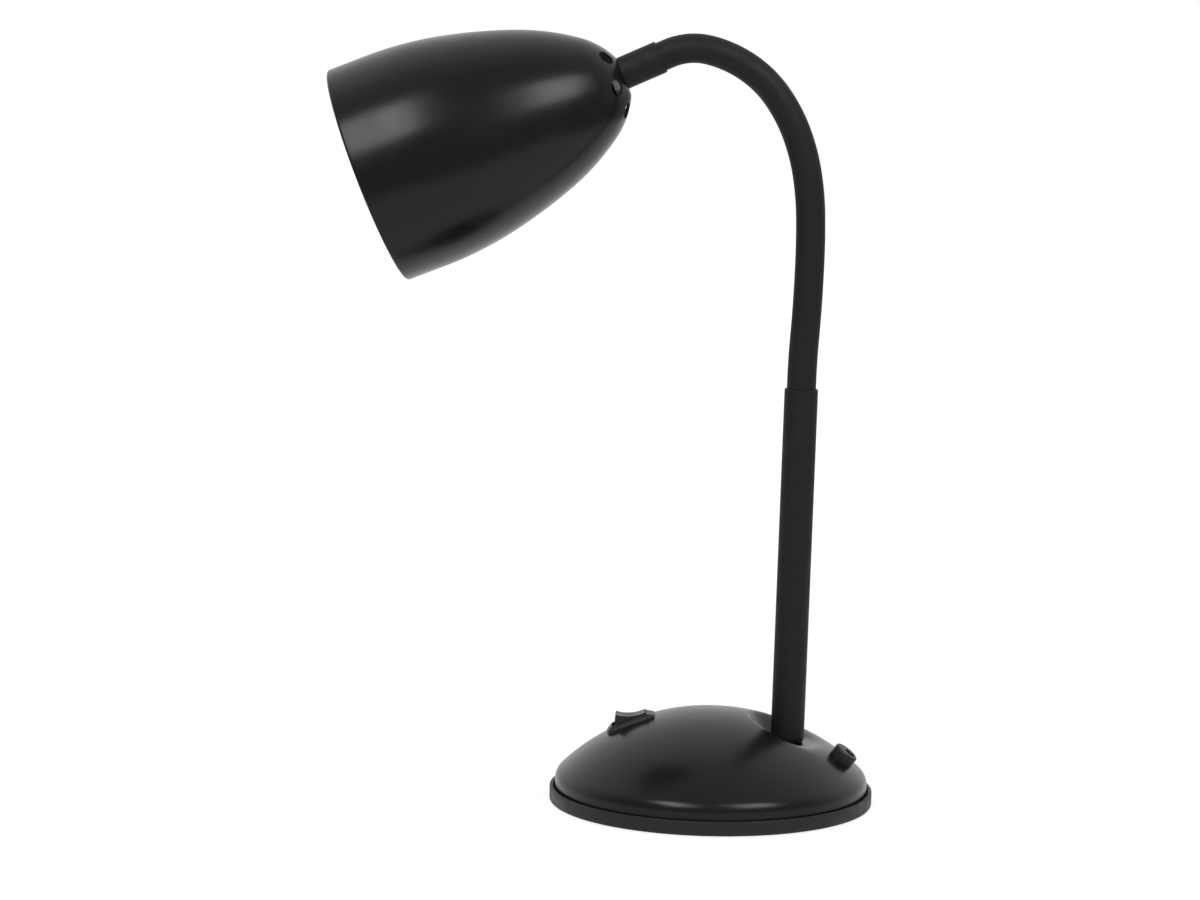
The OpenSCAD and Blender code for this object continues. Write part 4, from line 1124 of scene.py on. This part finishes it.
paper = bpy.data.materials.new("floor_paper")
paper.use_nodes = True
tree = paper.node_tree
tree.nodes.clear()
output = tree.nodes.new("ShaderNodeOutputMaterial")
plain = tree.nodes.new("ShaderNodeBsdfDiffuse")
plain.inputs["Color"].default_value = PAPER_GREY
faint = tree.nodes.new("ShaderNodeBsdfDiffuse")
faint.inputs["Color"].default_value = SHADOW_GREY
glow = tree.nodes.new("ShaderNodeEmission")
place = tree.nodes.new("ShaderNodeTexCoord")
distance = tree.nodes.new("ShaderNodeVectorMath")
distance.operation = "LENGTH"
tree.links.new(place.outputs["Object"], distance.inputs[0])
whitening = ramp(tree, distance.outputs["Value"], GLOW_NEAR, GLOW_FAR, GLOW_LOW, GLOW_HIGH)
tree.links.new(whitening, glow.inputs["Strength"])
shown = tree.nodes.new("ShaderNodeAddShader")
tree.links.new(faint.outputs[0], shown.inputs[0])
tree.links.new(glow.outputs[0], shown.inputs[1])
split_by_ray(tree, output, plain, shown)
floor_mesh.materials.append(paper)
print("floor paper:", len(tree.nodes), "nodes")

# %% [markdown]
# ### The world
#
# The world is a dim grey room, which lights the lamp from all sides. To the camera it is plain white.
# What the lamp mirrors of it is white only behind the lamp and above the floor, and fades to the room
# towards the camera, because the real backdrop hung on that side alone.

# %% Make the world
ROOM_STRENGTH = 0.35
FADE_BEHIND = 0.45
FADE_ABOVE = 0.1

world = bpy.data.worlds.new("studio")
bpy.context.scene.world = world
world.use_nodes = True
tree = world.node_tree
tree.nodes.clear()
output = tree.nodes.new("ShaderNodeOutputWorld")
room = tree.nodes.new("ShaderNodeBackground")
room.inputs["Strength"].default_value = ROOM_STRENGTH
white = tree.nodes.new("ShaderNodeBackground")
white.inputs["Strength"].default_value = 1.0
for backdrop in (room, white):
    backdrop.inputs["Color"].default_value = (1, 1, 1, 1)
where = tree.nodes.new("ShaderNodeTexCoord")
split = tree.nodes.new("ShaderNodeSeparateXYZ")
tree.links.new(where.outputs["Generated"], split.inputs[0])
behind = ramp(tree, split.outputs["Y"], -FADE_BEHIND, FADE_BEHIND, shape="SMOOTHSTEP")
above = ramp(tree, split.outputs["Z"], -FADE_ABOVE, FADE_ABOVE, shape="SMOOTHSTEP")
split_by_ray(tree, output, room, white, behind, above)
print("world:", len(tree.nodes), "nodes")

# %% [markdown]
# ### The soft boxes
#
# Each of the two long highlights on the shade, and their echoes on the dome, is the mirror image of
# one soft box. So the boxes stand where the reflected lines of sight lead, seen from the middle of
# the lamp, and their sizes and the roll of the left one give the highlights' width and slant.

# %% Put up the soft boxes
LAMP_MIDDLE = (-0.05, 0.0, 0.25)
BOX_REACH = 1.5


def soft_box(name, turn, height, size, power, roll=0.0):
    """A rectangular light, turn degrees to the right of straight behind and height degrees up.

    It faces the lamp's middle and is rolled about its own axis. Its size is in metres.
    """
    turn, height, roll = math.radians(turn), math.radians(height), math.radians(roll)
    level = BOX_REACH * math.cos(height)
    spot = (level * math.sin(turn), level * math.cos(turn), BOX_REACH * math.sin(height) + LAMP_MIDDLE[2])
    light = bpy.data.lights.new(name, "AREA")
    light.shape = "RECTANGLE"
    light.size, light.size_y = size
    light.energy = power
    box = in_scene(name, light)
    box.location = spot
    facing = (Vector(LAMP_MIDDLE) - Vector(spot)).to_track_quat("-Z", "Y").to_matrix()
    box.rotation_euler = (facing @ Matrix.Rotation(roll, 3, "Z")).to_euler()
    print(name, "at", [round(value, 2) for value in spot], "with", power, "W")


soft_box("left_box", -148, 39, (0.45, 0.88), 10.5, roll=38)
soft_box("right_box", 141, 38, (0.7, 0.75), 12.5)

# %% [markdown]
# ## Camera
#
# The photograph was taken with a long lens from about two and a half metres, a little above the lamp.
# These values were fitted to the outline: the distance and the height give the ellipse of the base,
# and the pan, tilt and roll put the lamp where it stands in the frame.

# %% Camera
VIEW_DISTANCE = 2.4
VIEW_HEIGHT = math.radians(12.6153)
VIEW_SIDE = math.radians(0.5)
PAN = math.radians(-1.916)
PITCH = math.radians(-8.458)
ROLL = math.radians(1.0145)
SENSOR = 36.0
PHOTO_WIDTH = 1200
FOCAL_PIXELS = 4811.19

forward = Vector((math.sin(PAN) * math.cos(PITCH), math.cos(PAN) * math.cos(PITCH), math.sin(PITCH)))
level_right = Vector((math.cos(PAN), -math.sin(PAN), 0.0))
level_up = level_right.cross(forward)
right = math.cos(ROLL) * level_right + math.sin(ROLL) * level_up
up = -math.sin(ROLL) * level_right + math.cos(ROLL) * level_up
spot = Vector((math.cos(VIEW_HEIGHT) * math.sin(VIEW_SIDE), -math.cos(VIEW_HEIGHT) * math.cos(VIEW_SIDE),
               math.sin(VIEW_HEIGHT)))
camera_data = bpy.data.cameras.new("camera")
camera_data.sensor_width = SENSOR
camera_data.lens = FOCAL_PIXELS * SENSOR / PHOTO_WIDTH
camera_data.clip_start = 0.05
camera_data.clip_end = 50.0
camera = in_scene("camera", camera_data)
turn = Matrix((right, up, -forward)).transposed().to_4x4()
camera.matrix_world = Matrix.Translation(VIEW_DISTANCE * spot) @ turn
bpy.context.scene.camera = camera
bpy.context.scene.view_settings.view_transform = "Standard"
print("lens:", round(camera_data.lens, 2), "mm")
